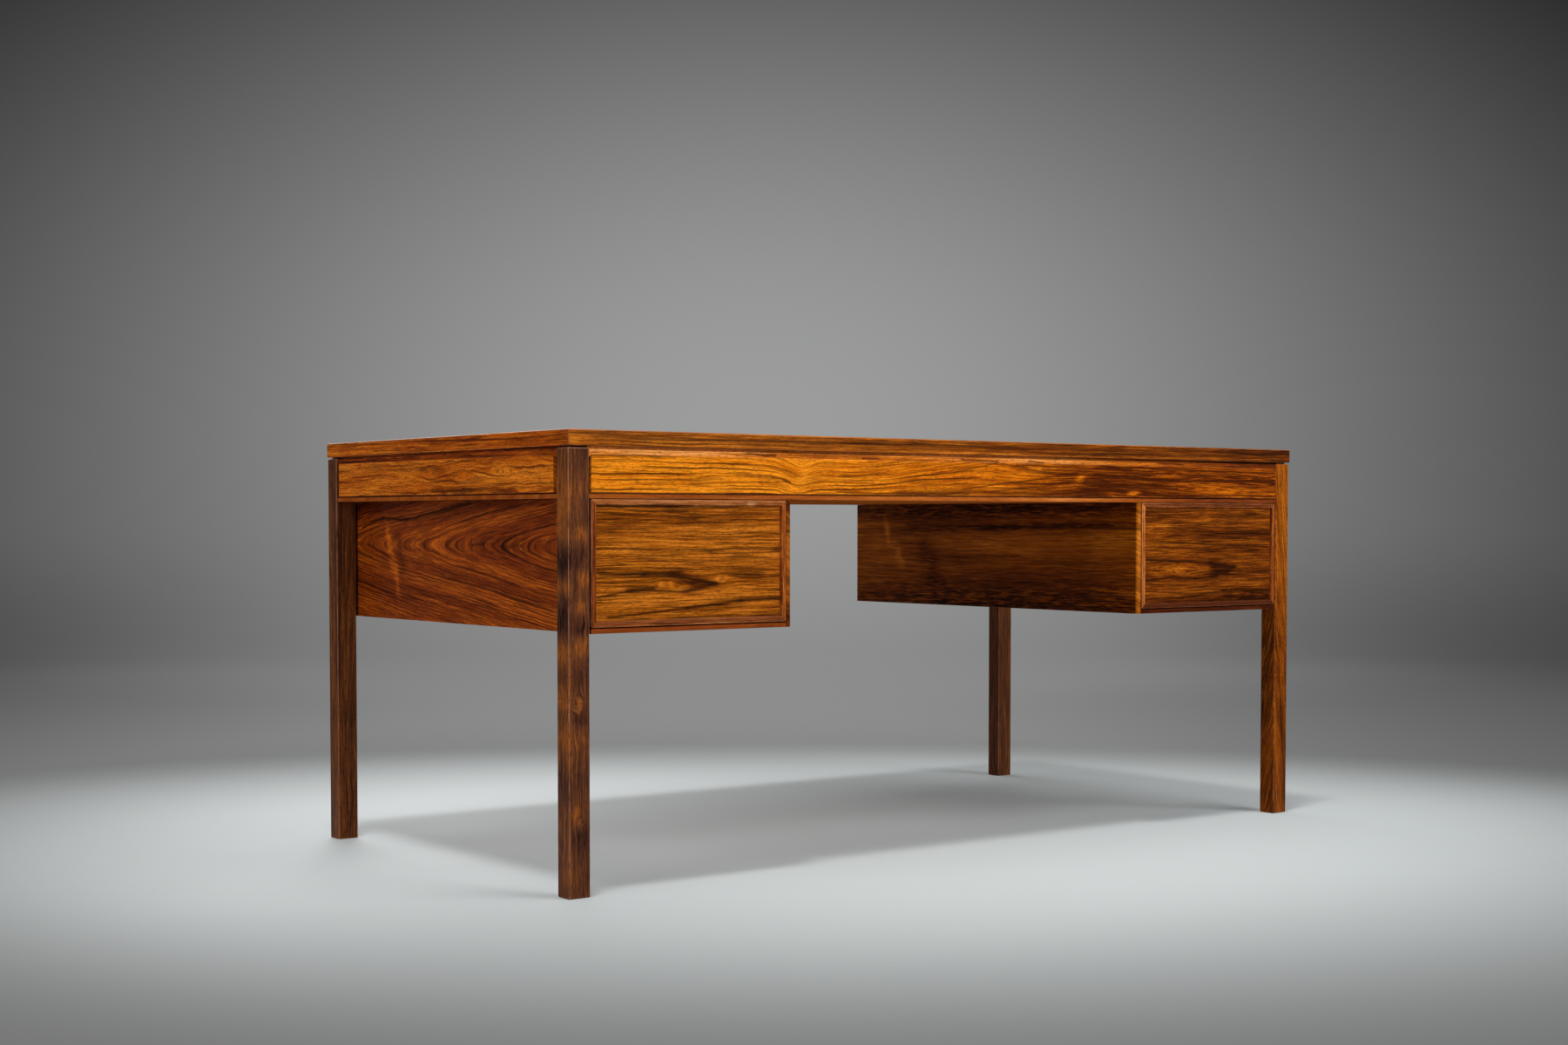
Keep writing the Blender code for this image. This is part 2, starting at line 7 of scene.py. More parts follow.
import bmesh
import bpy
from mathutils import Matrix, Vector


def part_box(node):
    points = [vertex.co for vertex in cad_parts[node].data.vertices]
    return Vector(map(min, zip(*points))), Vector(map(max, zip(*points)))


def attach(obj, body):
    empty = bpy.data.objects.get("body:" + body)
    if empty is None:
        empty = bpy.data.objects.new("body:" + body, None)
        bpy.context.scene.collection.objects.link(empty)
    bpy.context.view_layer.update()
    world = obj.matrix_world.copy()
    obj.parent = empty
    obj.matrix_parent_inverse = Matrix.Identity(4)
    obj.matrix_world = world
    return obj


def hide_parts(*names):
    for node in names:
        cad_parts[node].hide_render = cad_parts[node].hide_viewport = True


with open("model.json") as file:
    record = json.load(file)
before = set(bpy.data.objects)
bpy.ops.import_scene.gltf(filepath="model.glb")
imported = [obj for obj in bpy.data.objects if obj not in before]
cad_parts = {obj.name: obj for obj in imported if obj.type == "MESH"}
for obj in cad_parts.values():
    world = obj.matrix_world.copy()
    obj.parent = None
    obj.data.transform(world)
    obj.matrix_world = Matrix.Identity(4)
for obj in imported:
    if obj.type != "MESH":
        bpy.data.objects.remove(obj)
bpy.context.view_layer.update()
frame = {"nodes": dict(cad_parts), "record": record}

# Camera, fitted to the photograph
EYE = (-2.624, -3.310, 0.591)
PITCH_DEGREES = -2.16
YAW_DEGREES = -37.24
LENS = 50.0
SENSOR = 36.0
IMAGE_WIDTH = 1800
AXIS_BELOW_MIDDLE = 92
CLIP_END = 60.0

# Round edges and joints, in metres
TOP_EASE = 0.0019
TOP_CORNER = 0.0024
LEG_EASE = 0.0018
FIELD_EASE = 0.0010
FRAME_EASE = 0.0010
LINING_EASE = 0.0009
STRIP_EASE = 0.0008
BOARD_EASE = 0.0007
SIDE_EASE = 0.0006
FLOOR_EASE = 0.0005
SLIGHT_EASE = 0.0004
SEAM_EASE = 0.0003
SEAM = 0.00015
VENEER_DROP = 0.0001
MITRE_GAP = 0.00012
JOINT_GAP = 0.0002
WELD = 1e-6
SHARP_RADIANS = 0.7
COPY_EDGE_MARK = 0.8

# Sections that the frame's boxes do not give, in metres
LIPPING_WIDTH = 0.022
FIELD_FRONT = 0.001
FIELD_BACK = 0.010
FIELD_LOW = 0.6348
FIELD_HIGH = 0.6948
FIELD_GAP_LONG = 0.003
FIELD_GAP_END = 0.0095
STRIP_FRONT = 0.003
STRIP_LOW = 0.6908
STRIP_HIGH = 0.7026
RAIL_FRONT = 0.009
RAIL_THICKNESS = 0.018
LEG_SHOULDER = 0.7045
HEAD_INSET = 0.006
HEAD_LAP = 0.004
FRAME_WIDTH = 0.010
FRAME_DEPTH = 0.016
FRAME_BEVEL = 0.002
PANEL_RECESS = 0.004
PANEL_LAP = 0.0005
RIM_WIDTH = 0.007
RIM_BEVEL = 0.002
RIM_RECESS = 0.003
RIM_ROUND = (0.0004, 0.0002)
RIM_EDGE_MARK = (0.2, 0.8)

LEFT, RIGHT = -1, 1
FRONT, REAR = -1, 1
SIDES = {"left": LEFT, "right": RIGHT}
FACES = {"front": FRONT, "rear": REAR}
X, Y, Z = 0, 1, 2

BODY_OF = {node: body for body, nodes in frame["record"]["behaviour"]["bodies"].items() for node in nodes}


# Shader and geometry wiring


class Wire:
    """A socket of a node tree: arithmetic on it adds Math nodes, and node() adds any other node."""

    def __init__(self, tree, socket=None):
        self.tree = tree
        self.socket = socket

    def node(self, kind, settings, sockets, output=0):
        made = self.tree.nodes.new(kind)
        for name, value in settings.items():
            if name == "stops":
                while len(made.color_ramp.elements) < len(value):
                    made.color_ramp.elements.new(0.5)
                for element, (position, colour) in zip(made.color_ramp.elements, value):
                    element.position = position
                    element.color = colour
            else:
                setattr(made, name, value)
        for name, value in sockets.items():
            if isinstance(value, Wire):
                self.tree.links.new(value.socket, made.inputs[name])
            else:
                made.inputs[name].default_value = value
        return Wire(self.tree, made.outputs[output])

    def other(self, output):
        """Another output of the node that this socket belongs to."""
        return Wire(self.tree, self.socket.node.outputs[output])

    def math(self, operation, *values):
        return self.node("ShaderNodeMath", {"operation": operation}, dict(enumerate(values)))

    def __add__(self, value):
        return self.math("ADD", self, value)

    def __radd__(self, value):
        return self.math("ADD", value, self)

    def __sub__(self, value):
        return self.math("SUBTRACT", self, value)

    def __rsub__(self, value):
        return self.math("SUBTRACT", value, self)

    def __mul__(self, value):
        return self.math("MULTIPLY", self, value)

    def __rmul__(self, value):
        return self.math("MULTIPLY", value, self)

    def __truediv__(self, value):
        return self.math("DIVIDE", self, value)

    def __rtruediv__(self, value):
        return self.math("DIVIDE", value, self)

    def between(self, low, high):
        """0 below low, 1 above high, and a smooth step between them."""
        return self.node(
            "ShaderNodeMapRange",
            {"interpolation_type": "SMOOTHSTEP"},
            {"Value": self, "From Min": low, "From Max": high},
        )

    def noise(self, x, y, z, detail=2.0, roughness=0.5):
        spot = self.node("ShaderNodeCombineXYZ", {}, {"X": x, "Y": y, "Z": z})
        return self.node(
            "ShaderNodeTexNoise",
            {"noise_dimensions": "3D"},
            {"Vector": spot, "Scale": 1.0, "Detail": detail, "Roughness": roughness},
        )

    def blend(self, share, first, second):
        """The first colour, or the second where share is 1."""
        return self.node("ShaderNodeMix", {"data_type": "RGBA"}, {0: share, 6: first, 7: second}, 2)

    def vector(self, operation, *values):
        return self.node("ShaderNodeVectorMath", {"operation": operation}, dict(enumerate(values)))


def srgb(red, green, blue):
    """A colour as it shows on a screen, 0 to 255, in linear light."""
    linear = []
    for value in (red, green, blue):
        share = value / 255
        linear.append(share / 12.92 if share <= 0.04045 else ((share + 0.055) / 1.055) ** 2.4)
    return (*linear, 1.0)


# Wood

# Sizes of the drawn grain in metres, length before width, and a few ratios
FINE_GRAIN = (0.065, 0.0018)
HAIRS = (0.080, 0.0021)
PORES = (0.0090, 0.0011)
FEATHERS = (0.030, 0.0030)
CROWDS = (0.20, 0.020)
BROAD_LENGTH = 0.9
WARP_LENGTH = 0.6
WAVE = (0.030, 0.016, 0.05)
WANDER_FLATNESS = 0.45
WANDER_DEPTH = 0.2
EDGE_BREAKUP_SIZE = 0.03
LOOSE_ALONG = 0.020
LOOSE_RIPPLES = 2.5
STROKE_WAVER = 0.010
STROKE_POINT = 0.2
BUMP_DEPTH = 0.0004

# Where a noise or a ramp starts to count, and where it counts in full
LINE_RISE = (0.42, 0.88)
LINE_FALL = (0.92, 1.0)
LINE_LOT = (0.36, 0.60)
HAIR_RANGE = (0.47, 0.60)
CROWD_RANGE = (0.25, 0.60)
PORE_RANGE = (0.52, 0.62)
FEATHER_RANGE = (0.34, 0.62)
EDGE_MARK_RANGE = (0.0, 0.7)
EDGE_BREAKUP_RANGE = (0.25, 0.70)

# Slices of the noise, and shares of the marks in colour, in the lighter edges (wear and a painted highlight),
# roughness and relief
HAIR_SLICE, FEATHER_SLICE = 2.0, 4.0
LOT_SLICE, LOT_STEP = 5.0, 0.73
CROWD_SLICE = 9.0
WARP_PITCHES = 2.2
FEATHER_GAIN, FEATHER_BASE = 0.9, 0.35
CALM_SHARE = 0.5
EDGE_MARK_LEAST = 0.2
FINE_ROUGHNESS, DARK_ROUGHNESS, PORE_ROUGHNESS = 0.12, 0.06, 0.08
FINE_HEIGHT, DARK_DEPTH, PORE_DEPTH = 0.5, 0.4, 0.6
BUMP_STRENGTH = 0.14
VARNISH_TINT = (255, 214, 170)


@dataclass
class Figure:
    """How the grain of one board runs and what colours it has. Lengths are in metres."""

    along: int
    across: int
    tones: tuple
    line: tuple
    level: float = 0.5
    broad: float = 0.60
    broad_pitch: float = 0.026
    fine: float = 0.80
    lines: float = 0.85
    pitch: float = 0.011
    line_length: float = 0.22
    unevenness: float = 3.0
    hair: float = 0.60
    pore: float = 0.48
    wander: float = 0.016
    wander_length: float = 0.35
    ripple: float = 0.0020
    through: float = 0.6
    arch: tuple = None
    bends: tuple = ()
    eyes: tuple = ()
    glows: tuple = ()
    shades: tuple = ()
    strokes: tuple = ()
    fades: tuple = ()
    # Colour of the arrises: partly wear and partly a painted highlight where edges catch the light.
    edge: tuple = (150, 92, 62)
    edge_share: float = 0.5
    seed: float = 0.0
    roughness: float = 0.24
    gloss: float = 0.12


def wood(name, figure):
    """The finish of one board: growth lines and hairs that follow bent rings, under a satin varnish."""
    material = bpy.data.materials.new(name)
    material.use_nodes = True
    tree = material.node_tree
    shader = tree.nodes["Principled BSDF"]
    grain = Wire(tree)
    place = grain.node("ShaderNodeTexCoord", {}, {}, "Object")
    spot = grain.node("ShaderNodeSeparateXYZ", {}, {0: place})
    axes = (spot.other("X"), spot.other("Y"), spot.other("Z"))
    u = axes[figure.along]
    v = axes[figure.across]
    w = axes[3 - figure.along - figure.across]
    seed = figure.seed

    long_way = figure.wander_length
    slow = grain.noise(u / long_way + seed, v / (long_way * WANDER_FLATNESS), w / WANDER_DEPTH + seed) - 0.5
    quick = grain.noise(u / WAVE[0] + seed, v / WAVE[1], w / WAVE[2]) - 0.5
    loose_u = u + quick * LOOSE_ALONG
    loose_v = v + quick * (figure.ripple * LOOSE_RIPPLES)

    def patch(u_middle, v_middle, half_length, half_width, turn=0.0):
        """A soft oval that is 1 in its middle, and how far across it a point lies."""
        cosine = math.cos(math.radians(turn))
        sine = math.sin(math.radians(turn))
        du = loose_u - u_middle
        dv = loose_v - v_middle
        lengthwise = (du * cosine + dv * sine) / half_length
        crosswise = (dv * cosine - du * sine) / half_width
        reach = lengthwise * lengthwise + crosswise * crosswise
        return grain.math("EXPONENT", reach * -1.0), crosswise

    def stroke(u_start, v_start, u_end, v_end, half_width):
        """A soft line from one point to another that wavers with the grain."""
        run = u_end - u_start
        rise = v_end - v_start
        du = loose_u - u_start
        dv = loose_v + slow * STROKE_WAVER - v_start
        travel = (du * run + dv * rise) / (run * run + rise * rise)
        share = grain.node("ShaderNodeClamp", {}, {0: travel})
        gap_u = du - share * run
        gap_v = dv - share * rise
        reach = (gap_u * gap_u * STROKE_POINT + gap_v * gap_v) / (half_width * half_width)
        return grain.math("EXPONENT", reach * -1.0)

    ring = v
    if figure.arch:
        v_middle, roundness, slope = figure.arch
        dv = v - v_middle
        ring = grain.math("SQRT", dv * dv + roundness * roundness) + u * slope
    ring = ring + w * figure.through + slow * (2 * figure.wander) + quick * (2 * figure.ripple)
    for u_middle, v_middle, half_length, half_width, push in figure.bends:
        ring = ring + patch(u_middle, v_middle, half_length, half_width)[0] * push
    for u_middle, v_middle, half_length, half_width, push in figure.eyes:
        mound, crosswise = patch(u_middle, v_middle, half_length, half_width)
        ring = ring - mound * crosswise * push

    def streaks(size, offset, detail=2.0, roughness=0.5):
        """Noise drawn out along the grain."""
        length, width = size
        return grain.noise(ring / width, u / length, offset, detail, roughness)

    warp = grain.noise(ring / (figure.pitch * WARP_PITCHES), u / WARP_LENGTH + seed, seed) - 0.5
    phase = ring / figure.pitch + warp * figure.unevenness
    saw = grain.math("FRACT", phase)
    number = grain.math("FLOOR", phase)
    lot = grain.noise(number * LOT_STEP + seed, u / figure.line_length, LOT_SLICE, 1.0)
    lines = saw.between(*LINE_RISE) * (1.0 - saw.between(*LINE_FALL)) * lot.between(*LINE_LOT)
    broad = grain.noise(ring / figure.broad_pitch + seed, u / BROAD_LENGTH, seed) - 0.5
    fine = streaks(FINE_GRAIN, seed, 3.0, 0.65) - 0.5
    crowd = grain.noise(ring / CROWDS[1], u / CROWDS[0] + seed, CROWD_SLICE)
    hairs = streaks(HAIRS, seed + HAIR_SLICE).between(*HAIR_RANGE) * crowd.between(*CROWD_RANGE)
    pores = streaks(PORES, seed).between(*PORE_RANGE)

    feather = streaks(FEATHERS, seed + FEATHER_SLICE).between(*FEATHER_RANGE) * FEATHER_GAIN + FEATHER_BASE
    tone = broad * (2 * figure.broad) + fine * (2 * figure.fine) + figure.level
    calm = None
    for u_middle, v_middle, half_length, half_width, turn, amount in figure.glows:
        mound = patch(u_middle, v_middle, half_length, half_width, turn)[0] * feather
        tone = tone + mound * amount
        calm = mound if calm is None else grain.math("MAXIMUM", calm, mound)
    for u_middle, v_middle, half_length, half_width, turn, amount in figure.shades:
        tone = tone - patch(u_middle, v_middle, half_length, half_width, turn)[0] * feather * amount
    for u_start, u_end, amount in figure.fades:
        tone = tone + u.between(u_start, u_end) * amount
    colours = [srgb(*tone_colour) for tone_colour in figure.tones]
    stops = [(index / (len(colours) - 1), colour) for index, colour in enumerate(colours)]
    colour = grain.node("ShaderNodeValToRGB", {"stops": stops}, {0: tone})

    dark = grain.math("MAXIMUM", lines * figure.lines, hairs * figure.hair)
    if calm is not None:
        dark = dark * (1.0 - calm * CALM_SHARE)
    for u_start, v_start, u_end, v_end, half_width, amount in figure.strokes:
        mark = stroke(u_start, v_start, u_end, v_end, half_width) * (fine + 1.0) * amount
        dark = dark + (1.0 - dark) * mark
    colour = grain.blend(dark, colour, srgb(*figure.line))
    colour = grain.blend(pores * figure.pore, colour, srgb(*figure.line))

    # Lighter arrises: partly wear, partly a painted highlight standing in for edges that catch the light.
    edge_wear_and_highlight = grain.node("ShaderNodeAttribute", {"attribute_name": "arris"}, {}, "Fac")
    edge_breakup = grain.noise(u / EDGE_BREAKUP_SIZE, v / EDGE_BREAKUP_SIZE, w / EDGE_BREAKUP_SIZE + seed, 3.0)
    edge_wear_and_highlight = edge_wear_and_highlight.between(*EDGE_MARK_RANGE) * (edge_breakup.between(*EDGE_BREAKUP_RANGE) * (1 - EDGE_MARK_LEAST) + EDGE_MARK_LEAST)
    colour = grain.blend(edge_wear_and_highlight * figure.edge_share, colour, srgb(*figure.edge))

    tree.links.new(colour.socket, shader.inputs["Base Color"])
    roughness = fine * FINE_ROUGHNESS + dark * DARK_ROUGHNESS + pores * PORE_ROUGHNESS + figure.roughness
    tree.links.new(roughness.socket, shader.inputs["Roughness"])
    height = fine * FINE_HEIGHT - dark * DARK_DEPTH - pores * PORE_DEPTH
    relief = {"Strength": BUMP_STRENGTH, "Distance": BUMP_DEPTH, "Height": height}
    bump = grain.node("ShaderNodeBump", {}, relief)
    tree.links.new(bump.socket, shader.inputs["Normal"])
    shader.inputs["Specular IOR Level"].default_value = figure.gloss
    shader.inputs["Specular Tint"].default_value = srgb(*VARNISH_TINT)
    return material


# Colours of the boards from dark to pale, and of their dark lines
AMBER = ((66, 22, 1), (142, 64, 5), (192, 97, 8), (226, 122, 11), (255, 152, 26))
AMBER_LINE = (62, 21, 2)
CHESTNUT = ((42, 14, 2), (96, 41, 4), (142, 69, 8), (180, 98, 18), (216, 124, 32))
CHESTNUT_LINE = (40, 14, 2)
MAHOGANY = ((38, 11, 4), (88, 31, 9), (128, 50, 13), (164, 74, 18), (214, 104, 22))
MAHOGANY_LINE = (34, 11, 5)
COPPER = ((62, 19, 3), (126, 48, 5), (172, 75, 8), (208, 103, 14), (242, 138, 32))
COPPER_LINE = (58, 19, 5)
PLUM = ((30, 13, 10), (62, 33, 24), (90, 52, 35), (118, 67, 36), (156, 86, 32))
PLUM_LINE = (34, 15, 9)
ROSE = ((80, 36, 16), (126, 64, 28), (166, 92, 42), (196, 122, 66), (224, 160, 106))
ROSE_LINE = (66, 26, 12)
# SUNLIT's pale pink top stop serves the painted highlight on the fascia's top strip.
SUNLIT = ((66, 22, 5), (122, 54, 10), (164, 80, 16), (212, 116, 26), (255, 168, 82))
UMBER = ((58, 21, 10), (108, 48, 19), (148, 71, 25), (184, 99, 38), (222, 140, 72))
OAK = ((150, 108, 62), (176, 132, 82), (198, 156, 104), (212, 174, 124), (224, 190, 144))
OAK_LINE = (140, 96, 52)

# Marks of the boards. Bends and eyes: middle along and across, half length, half width, push. Glows and
# shades: the same with a turn in degrees and an amount. Strokes: both ends, half width, amount. Fades:
# start and end along the grain, amount. Arches: middle, roundness, slope.
FASCIA = Figure(
    X, Z, AMBER, AMBER_LINE, level=0.97, pitch=0.0090, wander=0.008, wander_length=0.30, hair=0.50,
    ripple=0.0014, broad=0.7, lines=0.95, fine=1.05,
    bends=((-0.40, 0.68, 0.030, 0.06, 0.014), (-0.30, 0.68, 0.14, 0.06, 0.012),
           (0.02, 0.70, 0.10, 0.03, -0.012), (0.30, 0.64, 0.20, 0.03, -0.010)),
    glows=((-0.390, 0.668, 0.034, 0.011, 74, 0.36), (-0.405, 0.646, 0.020, 0.008, 20, 0.22),
           (0.258, 0.669, 0.014, 0.006, 20, 0.55), (0.400, 0.642, 0.016, 0.005, 10, 0.60),
           (0.64, 0.653, 0.13, 0.011, -4, 0.34)),
    strokes=((0.300, 0.676, 0.520, 0.668, 0.0022, 0.95), (0.500, 0.668, 0.800, 0.669, 0.0018, 0.95),
             (0.27, 0.661, 0.50, 0.657, 0.0014, 0.85), (0.29, 0.655, 0.52, 0.6525, 0.0018, 0.90),
             (0.25, 0.6505, 0.46, 0.648, 0.0012, 0.80), (-0.05, 0.6755, 0.055, 0.694, 0.0013, 0.7),
             (-0.03, 0.645, 0.25, 0.678, 0.0014, 0.75), (0.02, 0.640, 0.26, 0.664, 0.0012, 0.7),
             (0.10, 0.690, 0.45, 0.684, 0.0016, 0.75), (0.16, 0.683, 0.50, 0.679, 0.0012, 0.75),
             (0.10, 0.6475, 0.30, 0.644, 0.0016, 0.7), (0.45, 0.689, 0.80, 0.686, 0.0018, 0.75),
             (0.52, 0.680, 0.80, 0.6775, 0.0014, 0.75), (0.42, 0.6395, 0.80, 0.6400, 0.0016, 0.7),
             (0.56, 0.661, 0.78, 0.657, 0.0010, 0.6), (-0.62, 0.650, -0.42, 0.654, 0.0012, 0.6),
             (-0.79, 0.664, -0.50, 0.668, 0.0010, 0.5), (-0.32, 0.638, -0.02, 0.637, 0.0016, 0.7),
             (-0.18, 0.6390, 0.32, 0.6405, 0.0050, 0.75)),
    fades=((-0.45, 0.05, -0.28), (0.06, 0.34, -0.58)), seed=1.3,
)
END_FIELD = Figure(
    Y, Z, COPPER, COPPER_LINE, level=0.79, gloss=0.05, pitch=0.0085, ripple=0.0044, wander=0.010,
    hair=0.55, fine=0.9,
    eyes=((-0.10, 0.664, 0.05, 0.014, 0.016), (-0.22, 0.672, 0.04, 0.012, 0.014),
          (0.02, 0.672, 0.03, 0.012, 0.010)),
    glows=((0.18, 0.660, 0.12, 0.013, -6, 0.28), (-0.24, 0.668, 0.06, 0.008, 4, 0.20)),
    shades=((-0.02, 0.668, 0.05, 0.010, 20, 0.18),),
    strokes=((-0.26, 0.640, 0.02, 0.643, 0.0026, 0.7), (0.30, 0.684, 0.05, 0.688, 0.0014, 0.5),
             (-0.12, 0.6385, -0.02, 0.6395, 0.0030, 0.7)), seed=4.1,
)
# The end strips are the end field's wood set much darker: painted shade in the recess under the top.
END_STRIP = replace(END_FIELD, level=0.36, seed=21.0)
LEFT_PANEL = Figure(
    X, Z, CHESTNUT, CHESTNUT_LINE, level=0.72, pitch=0.0085, wander=0.006, hair=0.80, lines=0.65,
    ripple=0.0012, fine=0.95,
    eyes=((-0.661, 0.489, 0.036, 0.012, 0.013), (-0.557, 0.4955, 0.022, 0.009, 0.010)),
    glows=((-0.661, 0.4895, 0.026, 0.0085, -6, 0.30), (-0.557, 0.4955, 0.016, 0.0065, 0, 0.26),
           (-0.66, 0.560, 0.12, 0.020, 0, 0.06), (-0.72, 0.455, 0.06, 0.014, 8, 0.14)),
    shades=((-0.612, 0.492, 0.032, 0.010, -16, 0.45), (-0.46, 0.436, 0.06, 0.012, 6, 0.25)),
    strokes=((-0.793, 0.5470, -0.641, 0.5445, 0.0013, 0.80), (-0.641, 0.5445, -0.438, 0.5472, 0.0013, 0.80),
             (-0.793, 0.5880, -0.641, 0.5864, 0.0010, 0.45), (-0.641, 0.5864, -0.438, 0.5906, 0.0010, 0.45),
             # The stroke along the top edge paints the shadow under the frame's top strip.
             (-0.793, 0.6135, -0.640, 0.6140, 0.0016, 0.90),
             (-0.790, 0.5062, -0.708, 0.5049, 0.0035, 0.75), (-0.708, 0.5049, -0.640, 0.5080, 0.0045, 0.85),
             (-0.655, 0.5050, -0.573, 0.4895, 0.0050, 0.85), (-0.573, 0.4890, -0.622, 0.4785, 0.0045, 0.85),
             (-0.793, 0.4708, -0.725, 0.4804, 0.0016, 0.85), (-0.735, 0.4800, -0.690, 0.4830, 0.0040, 0.80),
             (-0.725, 0.4804, -0.630, 0.4773, 0.0020, 0.85), (-0.530, 0.5050, -0.476, 0.5042, 0.0040, 0.60),
             (-0.774, 0.4375, -0.621, 0.4503, 0.0018, 0.80), (-0.621, 0.4503, -0.520, 0.4593, 0.0030, 0.85),
             (-0.520, 0.4593, -0.438, 0.4633, 0.0036, 0.85), (-0.741, 0.4311, -0.520, 0.4364, 0.0014, 0.6)),
    seed=7.7,
)
RIGHT_PANEL = Figure(
    X, Z, CHESTNUT, CHESTNUT_LINE, level=0.47, pitch=0.0085, wander=0.006, hair=0.75, lines=0.65,
    ripple=0.0012, fine=0.85,
    eyes=((0.53, 0.494, 0.10, 0.018, 0.014),),
    glows=((0.530, 0.4955, 0.070, 0.0110, -3, 0.24), (0.470, 0.571, 0.060, 0.014, 0, 0.26),
           (0.500, 0.531, 0.120, 0.0080, -2, 0.20)),
    shades=((0.648, 0.496, 0.034, 0.011, -20, 0.50), (0.74, 0.438, 0.10, 0.014, 0, 0.40)),
    strokes=((0.519, 0.587, 0.790, 0.5870, 0.0013, 0.65),
             (0.440, 0.554, 0.600, 0.5465, 0.0017, 0.75), (0.600, 0.5465, 0.790, 0.5400, 0.0017, 0.75),
             (0.440, 0.517, 0.530, 0.5125, 0.0032, 0.85), (0.530, 0.5125, 0.622, 0.5085, 0.0026, 0.85),
             (0.622, 0.5070, 0.690, 0.5000, 0.0050, 0.90), (0.690, 0.500, 0.630, 0.4830, 0.0045, 0.85),
             (0.440, 0.477, 0.519, 0.4840, 0.0022, 0.85), (0.519, 0.484, 0.580, 0.4785, 0.0022, 0.85),
             (0.580, 0.4785, 0.644, 0.4820, 0.0026, 0.85),
             (0.540, 0.4415, 0.664, 0.4540, 0.0030, 0.75), (0.664, 0.4540, 0.790, 0.4530, 0.0045, 0.80),
             (0.440, 0.4425, 0.540, 0.4415, 0.0018, 0.70)),
    fades=((0.45, 0.80, -0.10),), seed=11.2,
)
OUTER_SIDE = Figure(
    Y, Z, MAHOGANY, MAHOGANY_LINE, level=0.66, pitch=0.0060, arch=(0.549, 0.020, 0.125), wander=0.008,
    ripple=0.0018, lines=0.85, line_length=0.40, unevenness=2.6, hair=0.45, fine=0.7, pore=0.35, gloss=0.06,
    glows=((0.262, 0.545, 0.040, 0.010, 72, 0.55), (0.236, 0.490, 0.034, 0.008, 78, 0.45),
           (0.180, 0.552, 0.130, 0.032, 0, 0.02)),
    strokes=((0.370, 0.578, 0.290, 0.594, 0.0026, 0.9), (0.290, 0.594, 0.200, 0.592, 0.0034, 0.9),
             (0.200, 0.592, -0.030, 0.621, 0.0036, 0.85), (0.35, 0.548, 0.23, 0.512, 0.0020, 0.7),
             (0.226, 0.560, 0.212, 0.500, 0.0050, 0.40), (-0.04, 0.549, -0.08, 0.551, 0.0030, 0.6),
             (-0.16, 0.547, -0.20, 0.549, 0.0030, 0.5)),
    shades=((0.33, 0.612, 0.10, 0.018, 0, 0.20), (-0.20, 0.552, 0.16, 0.034, 0, 0.16)),
    fades=((0.0, -0.32, 0.08),), seed=2.9,
)
# The inner sides: the turned light patches near the back and the turned dark patch beside them paint the edge
# of a cast shadow, mixed with a flame in the figure.
INNER_SIDE = Figure(
    Y, Z, CHESTNUT, CHESTNUT_LINE, level=0.56, pitch=0.012, wander=0.010, wander_length=0.5, lines=0.55,
    hair=0.45, fine=0.6, pore=0.25, broad=0.30, ripple=0.0010,
    fades=((-0.4172, -0.4190, 0.06), (0.4172, 0.4190, 0.06)), edge=(176, 92, 40),
    glows=((0.315, 0.565, 0.034, 0.008, 78, 0.40), (0.280, 0.520, 0.036, 0.014, 60, 0.34),
           (0.36, 0.530, 0.06, 0.040, 0, 0.14), (-0.02, 0.540, 0.16, 0.020, 4, 0.22),
           (-0.33, 0.548, 0.08, 0.020, 0, 0.24)),
    shades=((0.0, 0.615, 0.60, 0.020, 0, 0.54), (-0.05, 0.577, 0.40, 0.007, -1, 0.55),
            (-0.05, 0.425, 0.60, 0.042, 0, 0.54), (0.18, 0.510, 0.08, 0.026, 60, 0.30)),
    strokes=((0.25, 0.582, -0.42, 0.575, 0.0030, 0.7), (0.12, 0.516, -0.10, 0.520, 0.0016, 0.5)), seed=6.4,
)
# The right inner side's front and back edges are painted much lighter than the left's: a painted highlight.
RIGHT_INNER_SIDE = replace(
    INNER_SIDE, fades=((-0.4172, -0.4190, 0.38), (0.4172, 0.4190, 0.38)), edge=(226, 124, 66),
)
TOP_FIGURE = Figure(
    X, Y, AMBER, AMBER_LINE, level=0.50, pitch=0.022, line_length=0.5, broad_pitch=0.06, wander=0.040,
    wander_length=0.8, arch=(0.03, 0.05, 0.10), seed=8.8,
)
LONG_LIPPING = Figure(
    X, Z, CHESTNUT, CHESTNUT_LINE, level=0.64, pitch=0.007, wander=0.004, ripple=0.001, line_length=0.4,
    gloss=0.2,
    strokes=((-0.80, 0.7215, 0.80, 0.7225, 0.0035, 0.40),),
    glows=((0.05, 0.7100, 0.60, 0.0028, 0, 0.20),),
    # The last fade lightens the near corner: a painted highlight.
    fades=((-0.1, 0.7, -0.07), (0.55, 0.85, -0.36), (-0.82, -0.848, 0.16)), edge=(206, 124, 56), seed=3.3,
)
SHORT_LIPPING = Figure(
    Y, Z, COPPER, COPPER_LINE, level=0.72, gloss=0.06, pitch=0.007, wander=0.004, ripple=0.001,
    line_length=0.3,
    fades=((-0.25, -0.42, -0.14),), edge=(196, 120, 70), seed=5.5,
)
# Legs: the pale pinkish edge colour is partly wear and partly a painted highlight along the arrises.
DARK_LEG = Figure(
    Z, X, PLUM, PLUM_LINE, level=0.66, pitch=0.007, lines=0.7, through=0.8, wander=0.010,
    wander_length=0.16, line_length=0.12, edge=(176, 118, 90), edge_share=0.75, seed=9.1, gloss=0.10,
)
